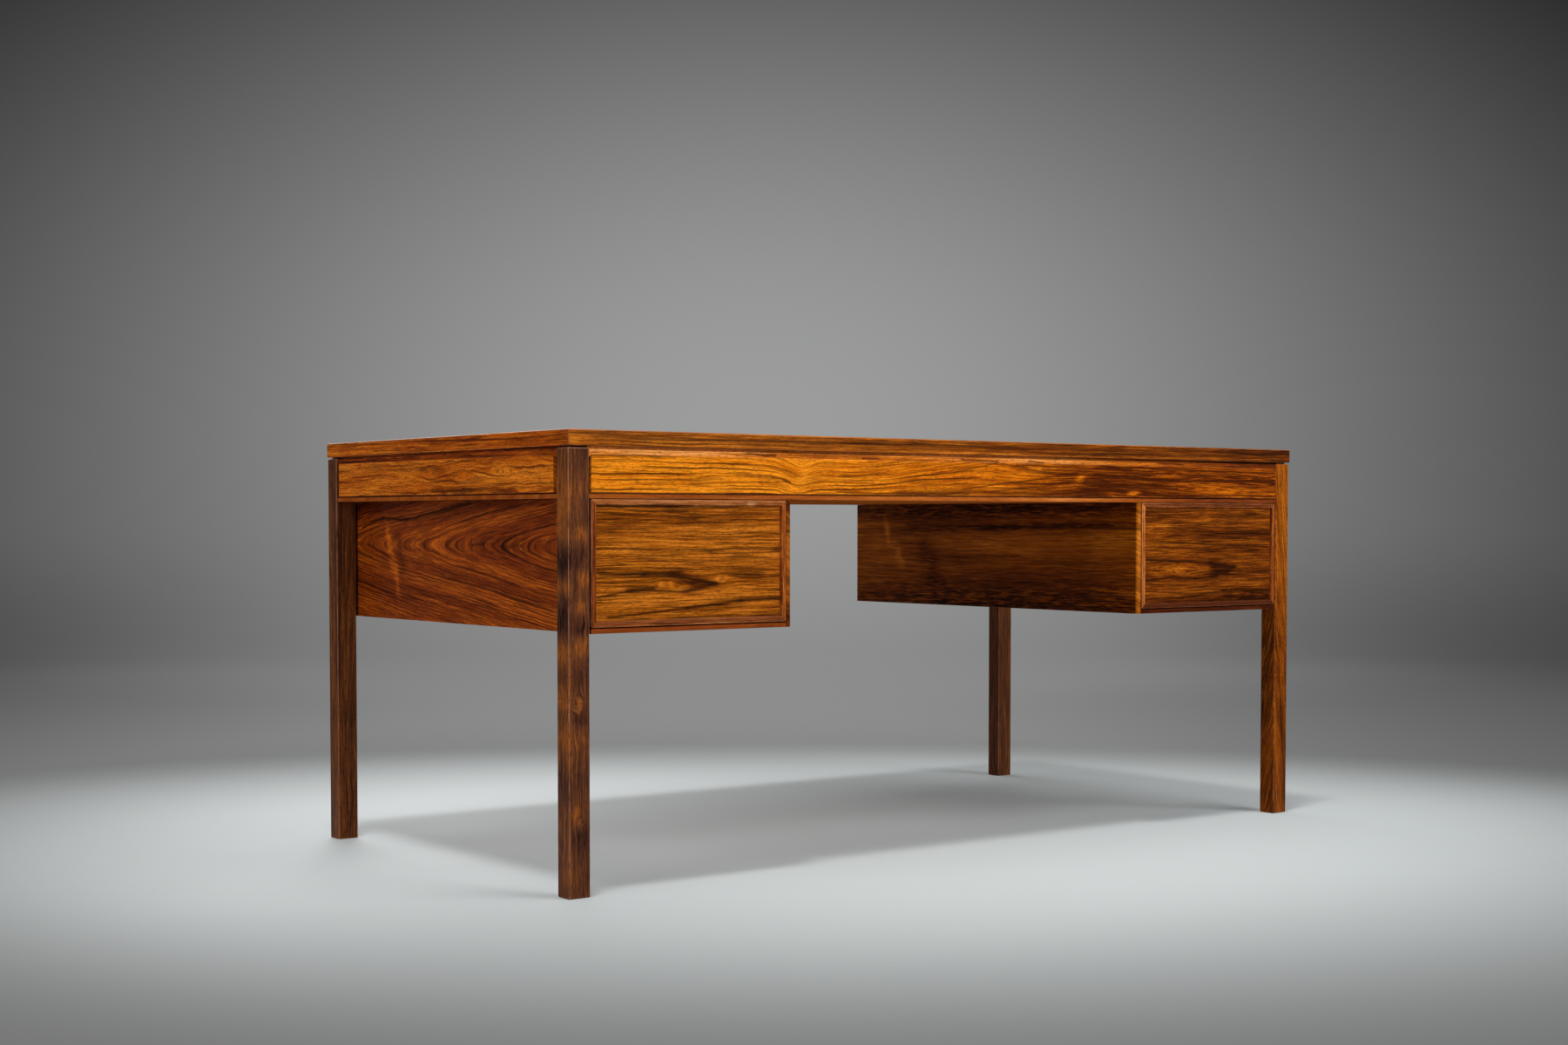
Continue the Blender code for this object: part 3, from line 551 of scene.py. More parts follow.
NEAR_LEG = replace(
    DARK_LEG, level=0.62, ripple=0.0040, lines=0.5, hair=0.5, edge=(196, 138, 112), edge_share=0.6,
    eyes=((0.306, -0.832, 0.016, 0.012, 0.020), (0.122, -0.826, 0.007, 0.006, 0.008)),
    glows=((0.640, -0.828, 0.030, 0.012, 0, 0.20), (0.567, -0.824, 0.014, 0.014, 30, 0.38),
           (0.500, -0.820, 0.014, 0.012, -30, 0.40), (0.457, -0.826, 0.010, 0.012, 20, 0.34),
           (0.395, -0.826, 0.016, 0.014, 25, 0.42), (0.306, -0.832, 0.012, 0.008, 0, 0.36),
           (0.245, -0.828, 0.026, 0.010, 0, 0.26), (0.128, -0.834, 0.012, 0.012, 0, 0.44),
           (0.050, -0.826, 0.020, 0.010, 10, 0.16), (0.620, -0.849, 0.070, 0.004, 0, 0.50),
           (0.487, -0.849, 0.012, 0.004, 0, 0.46), (0.382, -0.849, 0.022, 0.004, 0, 0.60),
           (0.312, -0.849, 0.020, 0.004, 0, 0.55), (0.245, -0.849, 0.034, 0.004, 0, 0.42),
           (0.080, -0.849, 0.070, 0.004, 0, 0.26)),
    shades=((0.535, -0.828, 0.020, 0.014, 0, 0.28), (0.425, -0.828, 0.012, 0.014, 20, 0.30),
            (0.345, -0.828, 0.014, 0.012, 10, 0.16), (0.280, -0.828, 0.010, 0.014, 0, 0.26),
            (0.180, -0.828, 0.020, 0.014, 10, 0.18), (0.095, -0.828, 0.018, 0.014, 0, 0.28),
            (0.530, -0.849, 0.022, 0.004, 0, 0.46), (0.440, -0.849, 0.026, 0.004, 0, 0.46),
            (0.170, -0.849, 0.030, 0.004, 0, 0.20)),
)
BRIGHT_LEG = Figure(
    Z, X, CHESTNUT, CHESTNUT_LINE, level=0.36, pitch=0.0060, through=0.5, arch=(0.8105, 0.003, 0.12),
    wander=0.005, wander_length=0.12, ripple=0.0010, line_length=0.30, lines=0.6, hair=0.65,
    fades=((0.10, 0.55, 0.26),), seed=12.6,
)
FRAME_ACROSS = Figure(
    X, Z, ROSE, ROSE_LINE, level=0.68, pitch=0.006, wander=0.004, ripple=0.0015, lines=0.7,
    edge=(206, 138, 92),
    eyes=((-0.495, 0.619, 0.016, 0.006, 0.008),), glows=((-0.495, 0.619, 0.008, 0.004, 0, 0.40),),
    fades=((-0.60, -0.46, -0.16), (0.3, 0.45, -0.22)),
    shades=((-0.62, 0.426, 0.30, 0.010, 0, 0.16), (0.61, 0.420, 0.30, 0.020, 0, 1.10)),
    # This stroke paints the shade on the top strip's downward-facing inner edge, darkest at the left.
    strokes=((-0.80, 0.6130, -0.62, 0.6140, 0.0022, 0.9),), seed=13.4,
)
FRAME_UPRIGHT = Figure(
    Z, X, UMBER, COPPER_LINE, level=0.60, pitch=0.006, wander=0.003, ripple=0.0010, edge=(206, 132, 90),
    glows=((0.52, -0.432, 0.40, 0.014, 0, 0.20),),
    shades=((0.52, -0.802, 0.40, 0.012, 0, 0.22),), seed=14.9,
)
FLOOR_BOARD = Figure(
    X, Y, UMBER, COPPER_LINE, level=0.56, pitch=0.012, wander=0.03, lines=0.25, hair=0.15, fine=0.30,
    pore=0.2, broad=0.3, fades=((-0.45, -0.20, 0.14), (0.25, 0.50, -0.28)), edge=(178, 112, 74), gloss=0.0,
    roughness=0.5, seed=15.2,
)
BOX_FLOOR = replace(
    FLOOR_BOARD, level=0.40, fades=((0.30, 0.42, -0.34),), edge=(120, 74, 48), edge_share=0.35,
)
# The fascia's top strip: pale and pink at the near left end, a painted highlight of light catching the strip,
# and darker towards the right.
STRIP_LONG = Figure(
    X, Z, SUNLIT, COPPER_LINE, level=1.02, pitch=0.006, wander=0.003, lines=0.5, hair=0.30, fine=0.5,
    strokes=((-0.505, 0.6990, -0.450, 0.6965, 0.0018, 0.85), (-0.258, 0.6985, -0.225, 0.6970, 0.0016, 0.8),
             (-0.035, 0.6990, 0.050, 0.6960, 0.0017, 0.85), (0.132, 0.6990, 0.168, 0.6960, 0.0018, 0.8),
             (0.470, 0.6990, 0.535, 0.6970, 0.0020, 0.8)),
    fades=((-0.60, -0.42, -0.33), (-0.30, 0.05, 0.15), (0.12, 0.45, -0.36), (0.45, 0.75, -0.34)),
    edge_share=0.25, seed=16.3,
)
REAR_PANEL = Figure(
    X, Z, CHESTNUT, CHESTNUT_LINE, level=0.50, pitch=0.011, wander=0.012, arch=(0.53, 0.02, 0.10),
    seed=17.8,
)
REAR_FRONT = Figure(
    X, Z, AMBER, AMBER_LINE, level=0.52, pitch=0.011, wander=0.010, seed=18.6,
)
LEG_FIGURES = {"leg_front_left": NEAR_LEG, "leg_front_right": BRIGHT_LEG}
LEG_SEED_STEPS = (2.7, 5.1)
LINING = Figure(
    Y, X, OAK, OAK_LINE, level=0.5, broad=0.35, fine=0.25, lines=0.35, hair=0.25, pore=0.2, wander=0.02,
    edge=(226, 196, 152), edge_share=0.3, roughness=0.55, gloss=0.3, seed=19.4,
)


# Boards made by Geometry Nodes

LATTICE_COUNT = 6
LATTICE_CORE = 0.2
LATTICE_RIM = 0.8
ARC_POWER = 1.272
SETTLE_WEIGHT = 100


def eased_board_tree():
    """A board between two corners, with round arrises that are marked for the lighter edge colour: wear and a
    painted highlight.
    """
    tree = bpy.data.node_groups.new("eased_board", "GeometryNodeTree")
    sockets = {}
    inputs = (("Low", "Vector"), ("High", "Vector"), ("Ease", "Float"), ("Finish", "Material"))
    tree.interface.new_socket("Board", in_out="OUTPUT", socket_type="NodeSocketGeometry")
    for label, kind in inputs:
        made = tree.interface.new_socket(label, in_out="INPUT", socket_type=f"NodeSocket{kind}")
        sockets[label] = made.identifier
    board = Wire(tree)
    given = board.node("NodeGroupInput", {}, {}, "Low")
    low = given
    high = given.other("High")
    ease = given.other("Ease")
    finish = given.other("Finish")

    def each(value):
        return (value, value, value)

    counts = {f"Vertices {letter}": LATTICE_COUNT for letter in "XYZ"}
    lattice = board.node("GeometryNodeMeshCube", {}, {"Size": each(2.0), **counts}, "Mesh")
    spot = board.node("GeometryNodeInputPosition", {}, {})
    beyond = board.vector("SUBTRACT", board.vector("ABSOLUTE", spot), each(LATTICE_CORE))
    share = board.vector("MAXIMUM", board.vector("DIVIDE", beyond, each(LATTICE_RIM)), each(0.0))
    turn = board.vector("POWER", share, each(ARC_POWER))
    side = board.vector("SIGN", spot)
    middle = board.vector("MULTIPLY", board.vector("ADD", low, high), each(0.5))
    half = board.vector("MULTIPLY", board.vector("SUBTRACT", high, low), each(0.5))
    flat = board.vector("SUBTRACT", half, ease)
    core = board.vector("ADD", middle, board.vector("MULTIPLY", side, flat))
    outward = board.vector("NORMALIZE", board.vector("MULTIPLY", side, turn))
    target = board.vector("ADD", core, board.vector("MULTIPLY", outward, ease))

    summed = board.node(
        "ShaderNodeVectorMath", {"operation": "DOT_PRODUCT"}, {0: turn, 1: each(1.0)}, "Value",
    )
    arris = board.node("ShaderNodeClamp", {}, {0: summed - 1.0})
    marked = board.node(
        "GeometryNodeStoreNamedAttribute",
        {"data_type": "FLOAT", "domain": "POINT"},
        {"Geometry": lattice, "Name": "arris", "Value": arris},
    )
    eased = board.node("GeometryNodeSetPosition", {}, {"Geometry": marked, "Position": target})
    smooth = board.node("GeometryNodeSetShadeSmooth", {}, {"Geometry": eased})
    real = board.node("GeometryNodeRealizeInstances", {}, {"Geometry": smooth})
    dressed = board.node("GeometryNodeSetMaterial", {}, {"Geometry": real, "Material": finish})
    out = tree.nodes.new("NodeGroupOutput")
    tree.links.new(dressed.socket, out.inputs["Board"])
    return tree, sockets


EASED_BOARD, BOARD_SOCKETS = eased_board_tree()


def hang(piece, node):
    """Ties a finished piece to the body of the CAD node that it stands for, and hides that node."""
    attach(piece, BODY_OF[node])
    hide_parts(node)
    return piece


def baked(piece):
    """Replaces the piece's mesh by what its modifiers make of it."""
    settle = piece.modifiers.new("settle_normals", "WEIGHTED_NORMAL")
    settle.keep_sharp = False
    settle.weight = SETTLE_WEIGHT
    graph = bpy.context.evaluated_depsgraph_get()
    mesh = bpy.data.meshes.new_from_object(piece.evaluated_get(graph), depsgraph=graph)
    mesh.name = piece.name
    piece.modifiers.clear()
    piece.data = mesh
    return piece


def new_piece(name, mesh=None):
    piece = bpy.data.objects.new(name, mesh or bpy.data.meshes.new(name))
    bpy.context.scene.collection.objects.link(piece)
    return piece


def board(name, node, low, high, ease, finish):
    """A straight board with eased edges."""
    piece = new_piece(name)
    maker = piece.modifiers.new("eased_board", "NODES")
    maker.node_group = EASED_BOARD
    maker[BOARD_SOCKETS["Low"]] = tuple(min(pair) for pair in zip(low, high))
    maker[BOARD_SOCKETS["High"]] = tuple(max(pair) for pair in zip(low, high))
    maker[BOARD_SOCKETS["Ease"]] = ease
    maker[BOARD_SOCKETS["Finish"]] = finish
    return hang(baked(piece), node)


def meshed(name, node, bm, finish):
    """A piece from a bmesh whose vertices carry their edge mark: wear and a painted highlight."""
    bmesh.ops.remove_doubles(bm, verts=bm.verts, dist=WELD)
    bmesh.ops.dissolve_degenerate(bm, edges=bm.edges, dist=WELD)
    bmesh.ops.recalc_face_normals(bm, faces=bm.faces)
    for face in bm.faces:
        face.smooth = True
    mesh = bpy.data.meshes.new(name)
    bm.to_mesh(mesh)
    bm.free()
    mesh.materials.append(finish)
    return hang(baked(new_piece(name, mesh)), node)


# Mitred strips, rimmed fronts and notched boards

MITRE_DEGREES = 45
ROUND_DEGREES = (45, 30, 15, 0)


def bridge(bm, rings):
    """Faces between each ring of vertices and the next."""
    for first, second in zip(rings, rings[1:]):
        for i in range(len(first)):
            j = (i + 1) % len(first)
            bm.faces.new((first[i], first[j], second[j], second[i]))


def eased_profile(corners, steps=3):
    """An outline through corners (across, depth, radius) as rows (across, depth, edge mark for wear and
    painted highlight).
    """
    outline = []
    for index, (across, depth, radius) in enumerate(corners):
        here = Vector((across, depth))
        if not radius:
            outline.append((across, depth, 0.0))
            continue
        back = (Vector(corners[index - 1][:2]) - here).normalized()
        ahead = (Vector(corners[(index + 1) % len(corners)][:2]) - here).normalized()
        half = back.angle(ahead) / 2
        centre = here + (back + ahead).normalized() * radius / math.sin(half)
        start = here + back * radius / math.tan(half) - centre
        stop = here + ahead * radius / math.tan(half) - centre
        for step in range(steps + 1):
            share = step / steps
            arc = start.normalized().slerp(stop.normalized(), share) * radius
            outline.append((*(centre + arc), 1.0 - abs(2 * share - 1)))
    return outline


def mitred_strip(name, node, start, stop, inward, face, profile, corner, finish):
    """A strip from one outer corner to the other, its profile running inward, both ends cut at 45 degrees."""
    start = Vector(start)
    along = Vector(stop) - start
    length = along.length
    along.normalize()
    inward = Vector(inward)
    face = Vector(face)
    bm = bmesh.new()
    edge_mark = bm.verts.layers.float.new("arris")
    mitre = math.radians(MITRE_DEGREES)
    angles = [math.radians(degrees) for degrees in ROUND_DEGREES] if corner else [mitre]
    rings = []
    for end in (0, 1):
        stations = angles if end == 0 else angles[::-1]
        for angle in stations:
            ring = []
            for across, depth, edge_wear_and_highlight in profile:
                reach = across
                aside = across
                if across < corner:
                    reach = corner - (corner - across) * math.sin(angle)
                    aside = corner - (corner - across) * math.cos(angle)
                reach += MITRE_GAP
                if end == 1:
                    reach = length - reach
                vert = bm.verts.new(start + along * reach + inward * aside + face * depth)
                vert[edge_mark] = max(edge_wear_and_highlight, angle / mitre if across < corner else 0.0)
                ring.append(vert)
            rings.append(ring)
    bridge(bm, rings)
    bm.faces.new(rings[0])
    bm.faces.new(rings[-1])
    return meshed(name, node, bm, finish)


def rimmed_board(name, node, low, high, front, finish):
    """A drawer front whose rim stands proud of its field; front is -1 or 1 along Y."""
    near = low.y if front == FRONT else high.y
    far = high.y if front == FRONT else low.y
    rows = [(0.0, abs(far - near), 0.0)]
    for share in (0.0, 0.5, 1.0):
        angle = share * math.pi / 2
        inset = BOARD_EASE * (1 - math.cos(angle))
        depth = BOARD_EASE * (1 - math.sin(angle))
        rows.append((inset, depth, 1.0 - abs(2 * share - 1)))
    rows.append((RIM_WIDTH - RIM_ROUND[0], 0.0, RIM_EDGE_MARK[0]))
    rows.append((RIM_WIDTH, RIM_ROUND[1], RIM_EDGE_MARK[1]))
    rows.append((RIM_WIDTH + RIM_BEVEL, RIM_RECESS, 0.0))
    bm = bmesh.new()
    edge_mark = bm.verts.layers.float.new("arris")
    rings = []
    for inset, depth, edge_wear_and_highlight in rows:
        y = near - front * depth
        ring = []
        for x, z in ((low.x + inset, low.z + inset), (high.x - inset, low.z + inset),
                     (high.x - inset, high.z - inset), (low.x + inset, high.z - inset)):
            vert = bm.verts.new((x, y, z))
            vert[edge_mark] = edge_wear_and_highlight
            ring.append(vert)
        rings.append(ring)
    bridge(bm, rings)
    bm.faces.new(rings[0])
    bm.faces.new(rings[-1])
    return meshed(name, node, bm, finish)


def eased_copy(name, node, ease, finish):
    """A notched board: the node's own outline with its sharp edges eased."""
    bm = bmesh.new()
    bm.from_mesh(frame["nodes"][node].data)
    bmesh.ops.remove_doubles(bm, verts=bm.verts, dist=WELD)
    bmesh.ops.dissolve_limit(bm, angle_limit=math.radians(1), verts=bm.verts, edges=bm.edges)
    bmesh.ops.recalc_face_normals(bm, faces=bm.faces)
    edge_mark = bm.verts.layers.float.new("arris")
    inner = [edge for edge in bm.edges if len(edge.link_faces) == 2]
    sharp = [edge for edge in inner if edge.calc_face_angle_signed() > SHARP_RADIANS]
    made = bmesh.ops.bevel(
        bm, geom=sharp, offset=ease, offset_type="OFFSET", segments=2, profile=0.5, affect="EDGES",
        clamp_overlap=True,
    )
    rounded = set(made["faces"])
    for vert in made["verts"]:
        vert[edge_mark] = COPY_EDGE_MARK if rounded.issuperset(vert.link_faces) else 0.0
    return meshed(name, node, bm, finish)


# The desk


def corners_of(node):
    low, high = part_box(node)
    return Vector(low), Vector(high)


LIP_LOW, LIP_HIGH = corners_of("top_lipping_front")
HALF_X = LIP_HIGH.x
HALF_Y = -LIP_LOW.y


def dress_top():
    top_finish = wood("rosewood_top", TOP_FIGURE)
    half_x = HALF_X - LIPPING_WIDTH - SEAM
    half_y = HALF_Y - LIPPING_WIDTH - SEAM
    board("top_panel_veneered", "top_panel", (-half_x, -half_y, LIP_LOW.z + VENEER_DROP),
          (half_x, half_y, LIP_HIGH.z - VENEER_DROP), SLIGHT_EASE, top_finish)
    thickness = LIP_HIGH.z - LIP_LOW.z
    profile = eased_profile([
        (0.0, 0.0, TOP_EASE), (0.0, thickness, TOP_EASE),
        (LIPPING_WIDTH, thickness, SEAM_EASE), (LIPPING_WIDTH, 0.0, SEAM_EASE),
    ])
    long_finish = wood("rosewood_long_lipping", LONG_LIPPING)
    short_finish = wood("rosewood_short_lipping", SHORT_LIPPING)
    up = (0.0, 0.0, 1.0)
    for face_name, face in FACES.items():
        y = face * HALF_Y
        node = f"top_lipping_{face_name}"
        mitred_strip(f"{node}_eased", node, (-HALF_X, y, LIP_LOW.z), (HALF_X, y, LIP_LOW.z),
                     (0.0, -face, 0.0), up, profile, TOP_CORNER, long_finish)
    for side_name, side in SIDES.items():
        x = side * HALF_X
        node = f"top_lipping_{side_name}"
        mitred_strip(f"{node}_eased", node, (x, -HALF_Y, LIP_LOW.z), (x, HALF_Y, LIP_LOW.z),
                     (-side, 0.0, 0.0), up, profile, TOP_CORNER, short_finish)


def dress_legs():
    for face_name, face in FACES.items():
        for side_name, side in SIDES.items():
            node = f"leg_{face_name}_{side_name}"
            low, high = corners_of(node)
            figure = LEG_FIGURES.get(node, DARK_LEG)
            seed = figure.seed + LEG_SEED_STEPS[0] * face + LEG_SEED_STEPS[1] * side
            finish = wood(f"rosewood_{node}", replace(figure, seed=seed))
            board(f"{node}_shaft", node, low, (high.x, high.y, LEG_SHOULDER), LEG_EASE, finish)
            inset = Vector((HEAD_INSET, HEAD_INSET, 0.0))
            neck = Vector((low.x, low.y, LEG_SHOULDER - HEAD_LAP))
            crown = Vector((high.x, high.y, LIP_LOW.z - JOINT_GAP))
            board(f"{node}_head", node, neck + inset, crown - inset, SLIGHT_EASE, finish)


def rail_point(along, sign, distance, inset, z):
    """A point on a rail: its distance along the rail from the middle, and its inset from the top's edge."""
    if along == X:
        return (distance, sign * (HALF_Y - inset), z)
    return (sign * (HALF_X - inset), distance, z)


def dress_rails():
    leg_corner = corners_of("leg_front_left")[1]
    half_long = -leg_corner.x
    half_end = -leg_corner.y
    low = corners_of("frieze_floor")[1].z + JOINT_GAP
    high = LIP_LOW.z - JOINT_GAP
    rails = (
        ("frieze_rail_front", X, FRONT, half_long, FIELD_GAP_LONG, FASCIA, STRIP_LONG),
        ("frieze_rail_left", Y, LEFT, half_end, FIELD_GAP_END, END_FIELD, END_STRIP),
        ("frieze_rail_right", Y, RIGHT, half_end, FIELD_GAP_END, END_FIELD, END_STRIP),
    )
    for node, along, sign, half, gap, field_figure, strip_figure in rails:
        field_finish = wood(f"rosewood_{node}", replace(field_figure, seed=field_figure.seed + sign))
        strip_finish = wood(f"rosewood_{node}_strip", strip_figure)
        pieces = (
            ("body", half, RAIL_FRONT, RAIL_FRONT + RAIL_THICKNESS, low, high, SLIGHT_EASE, strip_finish),
            ("strip", half, STRIP_FRONT, FIELD_BACK, STRIP_LOW, STRIP_HIGH, STRIP_EASE, strip_finish),
            ("field", half - gap, FIELD_FRONT, FIELD_BACK, FIELD_LOW, FIELD_HIGH, FIELD_EASE, field_finish),
        )
        for part, reach, front, back, bottom, top, ease, finish in pieces:
            board(f"{node}_{part}", node, rail_point(along, sign, -reach, front, bottom),
                  rail_point(along, sign, reach, back, top), ease, finish)


def dress_carcass():
    floor_finish = wood("rosewood_floor_boards", FLOOR_BOARD)
    eased_copy("frieze_floor_eased", "frieze_floor", FLOOR_EASE, floor_finish)
    box_floor_finish = wood("rosewood_box_floors", BOX_FLOOR)
    inner_finishes = {
        "left": wood("rosewood_left_inner_side", INNER_SIDE),
        "right": wood("rosewood_right_inner_side", RIGHT_INNER_SIDE),
    }
    outer_finish = wood("rosewood_outer_sides", OUTER_SIDE)
    for name in SIDES:
        divider = f"frieze_divider_{name}"
        low, high = corners_of(divider)
        board(f"{divider}_eased", divider, low, high, BOARD_EASE, inner_finishes["left"])
        finishes = {"inner_side": inner_finishes[name], "outer_side": outer_finish, "floor": box_floor_finish}
        for part, finish in finishes.items():
            node = f"pedestal_{name}_{part}"
            eased_copy(f"{node}_eased", node, SIDE_EASE, finish)


def dress_frame(body, face, across_finish, upright_finish, panel_finish):
    """The mitred frame of a deep drawer front and the panel in it."""
    node = f"{body}_frame"
    low, high = corners_of(node)
    near = low.y if face == FRONT else high.y
    profile = eased_profile([
        (0.0, 0.0, FRAME_EASE), (0.0, -FRAME_DEPTH, 0.0), (FRAME_WIDTH, -FRAME_DEPTH, 0.0),
        (FRAME_WIDTH, -PANEL_RECESS, 0.0), (FRAME_WIDTH - FRAME_BEVEL, 0.0, SLIGHT_EASE),
    ], 2)
    out = (0.0, face, 0.0)
    left_low = (low.x, near, low.z)
    right_low = (high.x, near, low.z)
    left_high = (low.x, near, high.z)
    right_high = (high.x, near, high.z)
    strips = (
        ("bottom", left_low, right_low, (0, 0, 1), across_finish),
        ("top", left_high, right_high, (0, 0, -1), across_finish),
        ("left", left_low, left_high, (1, 0, 0), upright_finish),
        ("right", right_low, right_high, (-1, 0, 0), upright_finish),
    )
    for edge, start, stop, inward, finish in strips:
        mitred_strip(f"{node}_{edge}", node, start, stop, inward, out, profile, 0.0, finish)
    panel_low, panel_high = corners_of(f"{body}_panel")
    margin = Vector((FRAME_WIDTH - PANEL_LAP, 0.0, FRAME_WIDTH - PANEL_LAP))
    first = low + margin
    last = high - margin
    board(f"{body}_panel_veneered", f"{body}_panel", (first.x, panel_low.y, first.z),
          (last.x, panel_high.y, last.z), SLIGHT_EASE, panel_finish)


def dress_drawer_box(body, lining_finish):
    for part in ("left_side", "right_side", "back", "bottom"):
        low, high = corners_of(f"{body}_{part}")
        board(f"{body}_{part}_eased", f"{body}_{part}", low, high, LINING_EASE, lining_finish)


def dress_drawers():
    lining_finish = wood("drawer_lining", LINING)
    across_finish = wood("rosewood_frame_across", FRAME_ACROSS)
    upright_finish = wood("rosewood_frame_upright", FRAME_UPRIGHT)
    front_finishes = {
        "left": wood("rosewood_left_panel", LEFT_PANEL),
        "right": wood("rosewood_right_panel", RIGHT_PANEL),
    }
    rear_finish = wood("rosewood_rear_panels", REAR_PANEL)
    for face_name, face in FACES.items():
        for side_name in SIDES:
            body = f"deep_drawer_{face_name}_{side_name}"
            panel_finish = front_finishes[side_name] if face == FRONT else rear_finish
            dress_frame(body, face, across_finish, upright_finish, panel_finish)
            dress_drawer_box(body, lining_finish)
    frieze_finish = wood("rosewood_frieze_fronts", REAR_FRONT)
    for place in ("left", "centre", "right"):
        body = f"frieze_drawer_{place}"
        low, high = corners_of(f"{body}_front")
        rimmed_board(f"{body}_front_rimmed", f"{body}_front", low, high, REAR, frieze_finish)
        dress_drawer_box(body, lining_finish)


dress_top()
dress_legs()
dress_rails()
dress_carcass()
dress_drawers()


# Floor, light and camera

FLOOR_GREY = (167, 172, 172)
BOUNCE_GREY = (146, 146, 146)
FLOOR_ROUGHNESS = 0.6
WALL_TINT = (0.985, 1.0, 0.99)

# Lengths in metres: aside across the photographed view, ahead into it, and up. Levels are linear light.
GLOW_ASIDE, GLOW_UP = -0.21, 1.10
GLOW_WIDTH, GLOW_HEIGHT = 3.79, 2.47
GLOW_PEAK = 0.379
GLOW_DROP = 0.044
FLANK_RANGE = (2.7, 4.0)
FLANK_LEAN = 0.35
FLANK_LEVEL = 0.09
LEAST_LEVEL = 0.02
DIM_SHARE = 0.27
DIM_ASIDE = -0.4
DIM_ASIDE_RANGE = (0.5, 2.5)
DIM_FAR_RANGE = (2.6, 4.6)
DIM_NEAR_RANGE = (-0.5, 2.5)
DIM_UP_RANGE = (0.0, 0.6)
POOL_ASIDE, POOL_AHEAD = -0.03, 0.09
POOL_STRETCH = 1.08
POOL_FAR_SQUEEZE = 1.4
POOL_RANGE = (0.67, 2.12)

FLOOR_RADII = (2.0, 4.0, 5.6)
SWEEP_RADIUS = 1.6
SWEEP_STEPS = 12
WALL_HEIGHT = 5.0
WALL_COUNT = 96

AIR_COLOUR = (0.9, 0.92, 0.95, 1.0)
AIR_STRENGTH = 0.23
# Name, place, aim, size in metres, power in watts
LAMPS = (
    ("key", (1.4, -3.2, 2.9), (0.0, 0.0, 0.45), 2.4, 150),
    ("fill", (-3.4, -0.8, 2.2), (0.0, 0.0, 0.4), 2.0, 36),
    ("above", (0.0, 0.3, 3.6), (0.0, 0.0, 0.0), 3.2, 58),
    ("behind", (0.6, 3.6, 2.6), (0.0, 0.0, 0.4), 2.2, 64),
)
FLOOR_LAMP = ("floor_only", (-2.3, -1.7, 10.0), (0.0, 0.0, 0.0), 1.2, 640)


def wall_level(paint, aside, ahead, z):
    """How bright the wall is: a glow behind the desk that is dimmer at its foot, near by and to the sides."""
    swing = (aside - GLOW_ASIDE) / GLOW_WIDTH
    rise = (z - GLOW_UP) / GLOW_HEIGHT
    glow = paint.math("EXPONENT", (swing * swing + rise * rise) * -1.0)
    flank = (paint.math("ABSOLUTE", aside) - z * FLANK_LEAN).between(*FLANK_RANGE) * FLANK_LEVEL + LEAST_LEVEL
    level = paint.math("MAXIMUM", glow * GLOW_PEAK - GLOW_DROP, flank)
    out = paint.math("ABSOLUTE", aside - DIM_ASIDE) - ahead.between(*DIM_FAR_RANGE)
    near = 1.0 - ahead.between(*DIM_NEAR_RANGE)
    foot = 1.0 - z.between(*DIM_UP_RANGE)
    dim = paint.math("MAXIMUM", near, out.between(*DIM_ASIDE_RANGE)) * foot
    return level * (1.0 - dim * DIM_SHARE)


def wall_share(paint, aside, ahead):
    """0 on the lit floor round the desk, 1 where it has faded into the wall."""
    aside = (aside - POOL_ASIDE) / POOL_STRETCH
    ahead = ahead - POOL_AHEAD
    ahead = paint.math("MAXIMUM", ahead, ahead * POOL_FAR_SQUEEZE)
    return paint.math("SQRT", aside * aside + ahead * ahead).between(*POOL_RANGE)


def studio_finish():
    """A pale lit floor that fades into a grey wall, which is brightest behind the desk."""
    material = bpy.data.materials.new("studio_grey")
    material.use_nodes = True
    tree = material.node_tree
    shader = tree.nodes["Principled BSDF"]
    shader.inputs["Roughness"].default_value = FLOOR_ROUGHNESS
    paint = Wire(tree)
    place = paint.node("ShaderNodeTexCoord", {}, {}, "Object")
    spot = paint.node("ShaderNodeSeparateXYZ", {}, {0: place})
    x, y, z = spot.other("X"), spot.other("Y"), spot.other("Z")
    yaw = math.radians(YAW_DEGREES)
    aside = x * math.cos(yaw) + y * math.sin(yaw)
    ahead = y * math.cos(yaw) - x * math.sin(yaw)

    level = wall_level(paint, aside, ahead, z)
    channels = {name: level * tint for name, tint in zip(("Red", "Green", "Blue"), WALL_TINT)}
    grey = paint.node("ShaderNodeCombineColor", {}, channels)
    wall = paint.node("ShaderNodeEmission", {}, {"Color": grey})
    ray = paint.node("ShaderNodeLightPath", {}, {}, "Is Camera Ray")
    ground = paint.blend(ray, srgb(*BOUNCE_GREY), srgb(*FLOOR_GREY))
    tree.links.new(ground.socket, shader.inputs["Base Color"])
    seen = ray + ray.other("Is Glossy Ray") + ray.other("Is Transmission Ray")
    share = wall_share(paint, aside, ahead) * paint.math("MINIMUM", seen, 1.0)
    floor = Wire(tree, shader.outputs["BSDF"])
    mixed = paint.node("ShaderNodeMixShader", {}, {0: share, 1: floor, 2: wall})
    tree.links.new(mixed.socket, tree.nodes["Material Output"].inputs["Surface"])
    return material


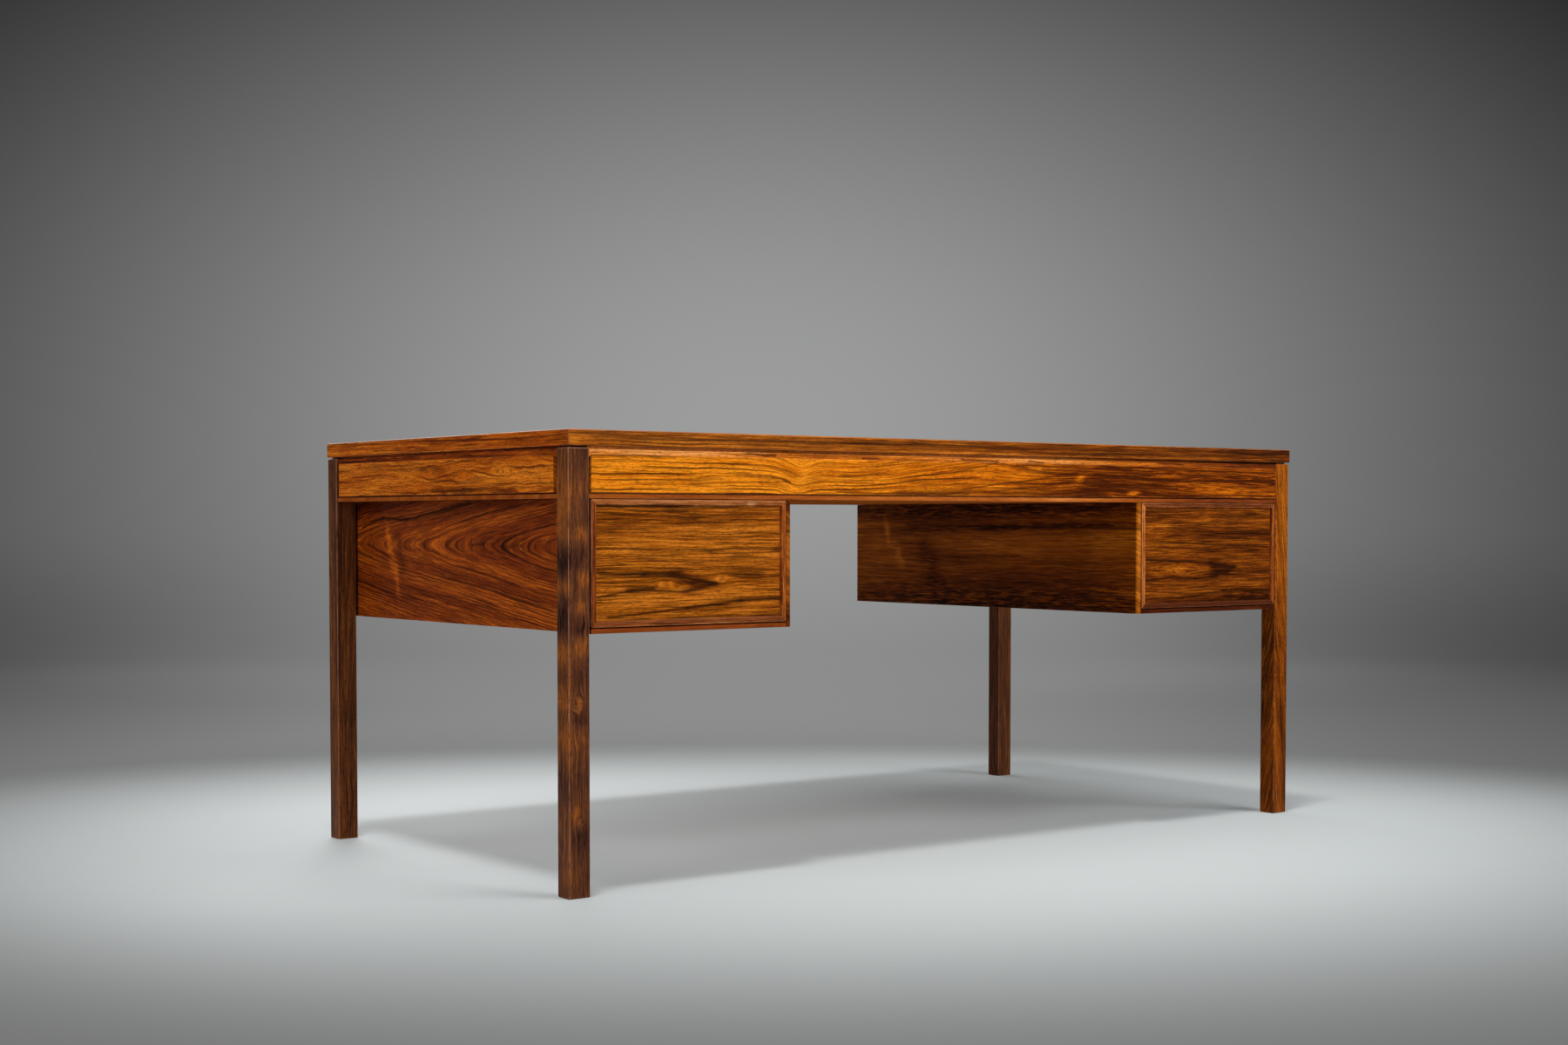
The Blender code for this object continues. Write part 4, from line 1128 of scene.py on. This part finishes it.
def backdrop():
    """A round floor that sweeps up into a wall, far enough out for every view."""
    rows = [(radius, 0.0) for radius in FLOOR_RADII]
    foot = FLOOR_RADII[-1]
    for step in range(1, SWEEP_STEPS + 1):
        angle = math.radians(90 * step / SWEEP_STEPS)
        rows.append((foot + SWEEP_RADIUS * math.sin(angle), SWEEP_RADIUS * (1 - math.cos(angle))))
    rows.append((foot + SWEEP_RADIUS, WALL_HEIGHT))
    bm = bmesh.new()
    rings = []
    for radius, z in rows:
        ring = []
        for i in range(WALL_COUNT):
            angle = 2 * math.pi * i / WALL_COUNT
            ring.append(bm.verts.new((radius * math.cos(angle), radius * math.sin(angle), z)))
        rings.append(ring)
    bm.faces.new(rings[0])
    bridge(bm, rings)
    bmesh.ops.recalc_face_normals(bm, faces=bm.faces)
    for face in bm.faces:
        face.normal_flip()
        face.smooth = True
    mesh = bpy.data.meshes.new("studio_floor")
    bm.to_mesh(mesh)
    bm.free()
    mesh.materials.append(studio_finish())
    floor = new_piece("studio_floor", mesh)
    return floor


def area_light(name, place, aim, size, power):
    lamp = bpy.data.lights.new(name, "AREA")
    lamp.size = size
    lamp.energy = power
    light = bpy.data.objects.new(name, lamp)
    light.location = place
    light.rotation_euler = (Vector(aim) - Vector(place)).to_track_quat("-Z", "Y").to_euler()
    light.visible_camera = False
    bpy.context.scene.collection.objects.link(light)
    return light


def studio(floor):
    """Soft lamps all round, and one overhead that only the floor takes, for the shadow under the desk."""
    scene = bpy.context.scene
    world = bpy.data.worlds.new("studio_air")
    world.use_nodes = True
    air = world.node_tree.nodes["Background"]
    air.inputs["Color"].default_value = AIR_COLOUR
    air.inputs["Strength"].default_value = AIR_STRENGTH
    scene.world = world
    for lamp in LAMPS:
        area_light(*lamp)
    overhead = area_light(*FLOOR_LAMP)
    receivers = bpy.data.collections.new("lit_floor")
    receivers.objects.link(floor)
    overhead.light_linking.receiver_collection = receivers
    scene.view_settings.view_transform = "Standard"


def camera():
    lens = bpy.data.cameras.new("camera")
    lens.lens = LENS
    lens.sensor_width = SENSOR
    lens.sensor_fit = "HORIZONTAL"
    lens.shift_y = AXIS_BELOW_MIDDLE / IMAGE_WIDTH
    lens.clip_end = CLIP_END
    eye = bpy.data.objects.new("camera", lens)
    eye.location = EYE
    eye.rotation_euler = (math.radians(90 + PITCH_DEGREES), 0.0, math.radians(YAW_DEGREES))
    bpy.context.scene.collection.objects.link(eye)
    bpy.context.scene.camera = eye


camera()
studio(backdrop())
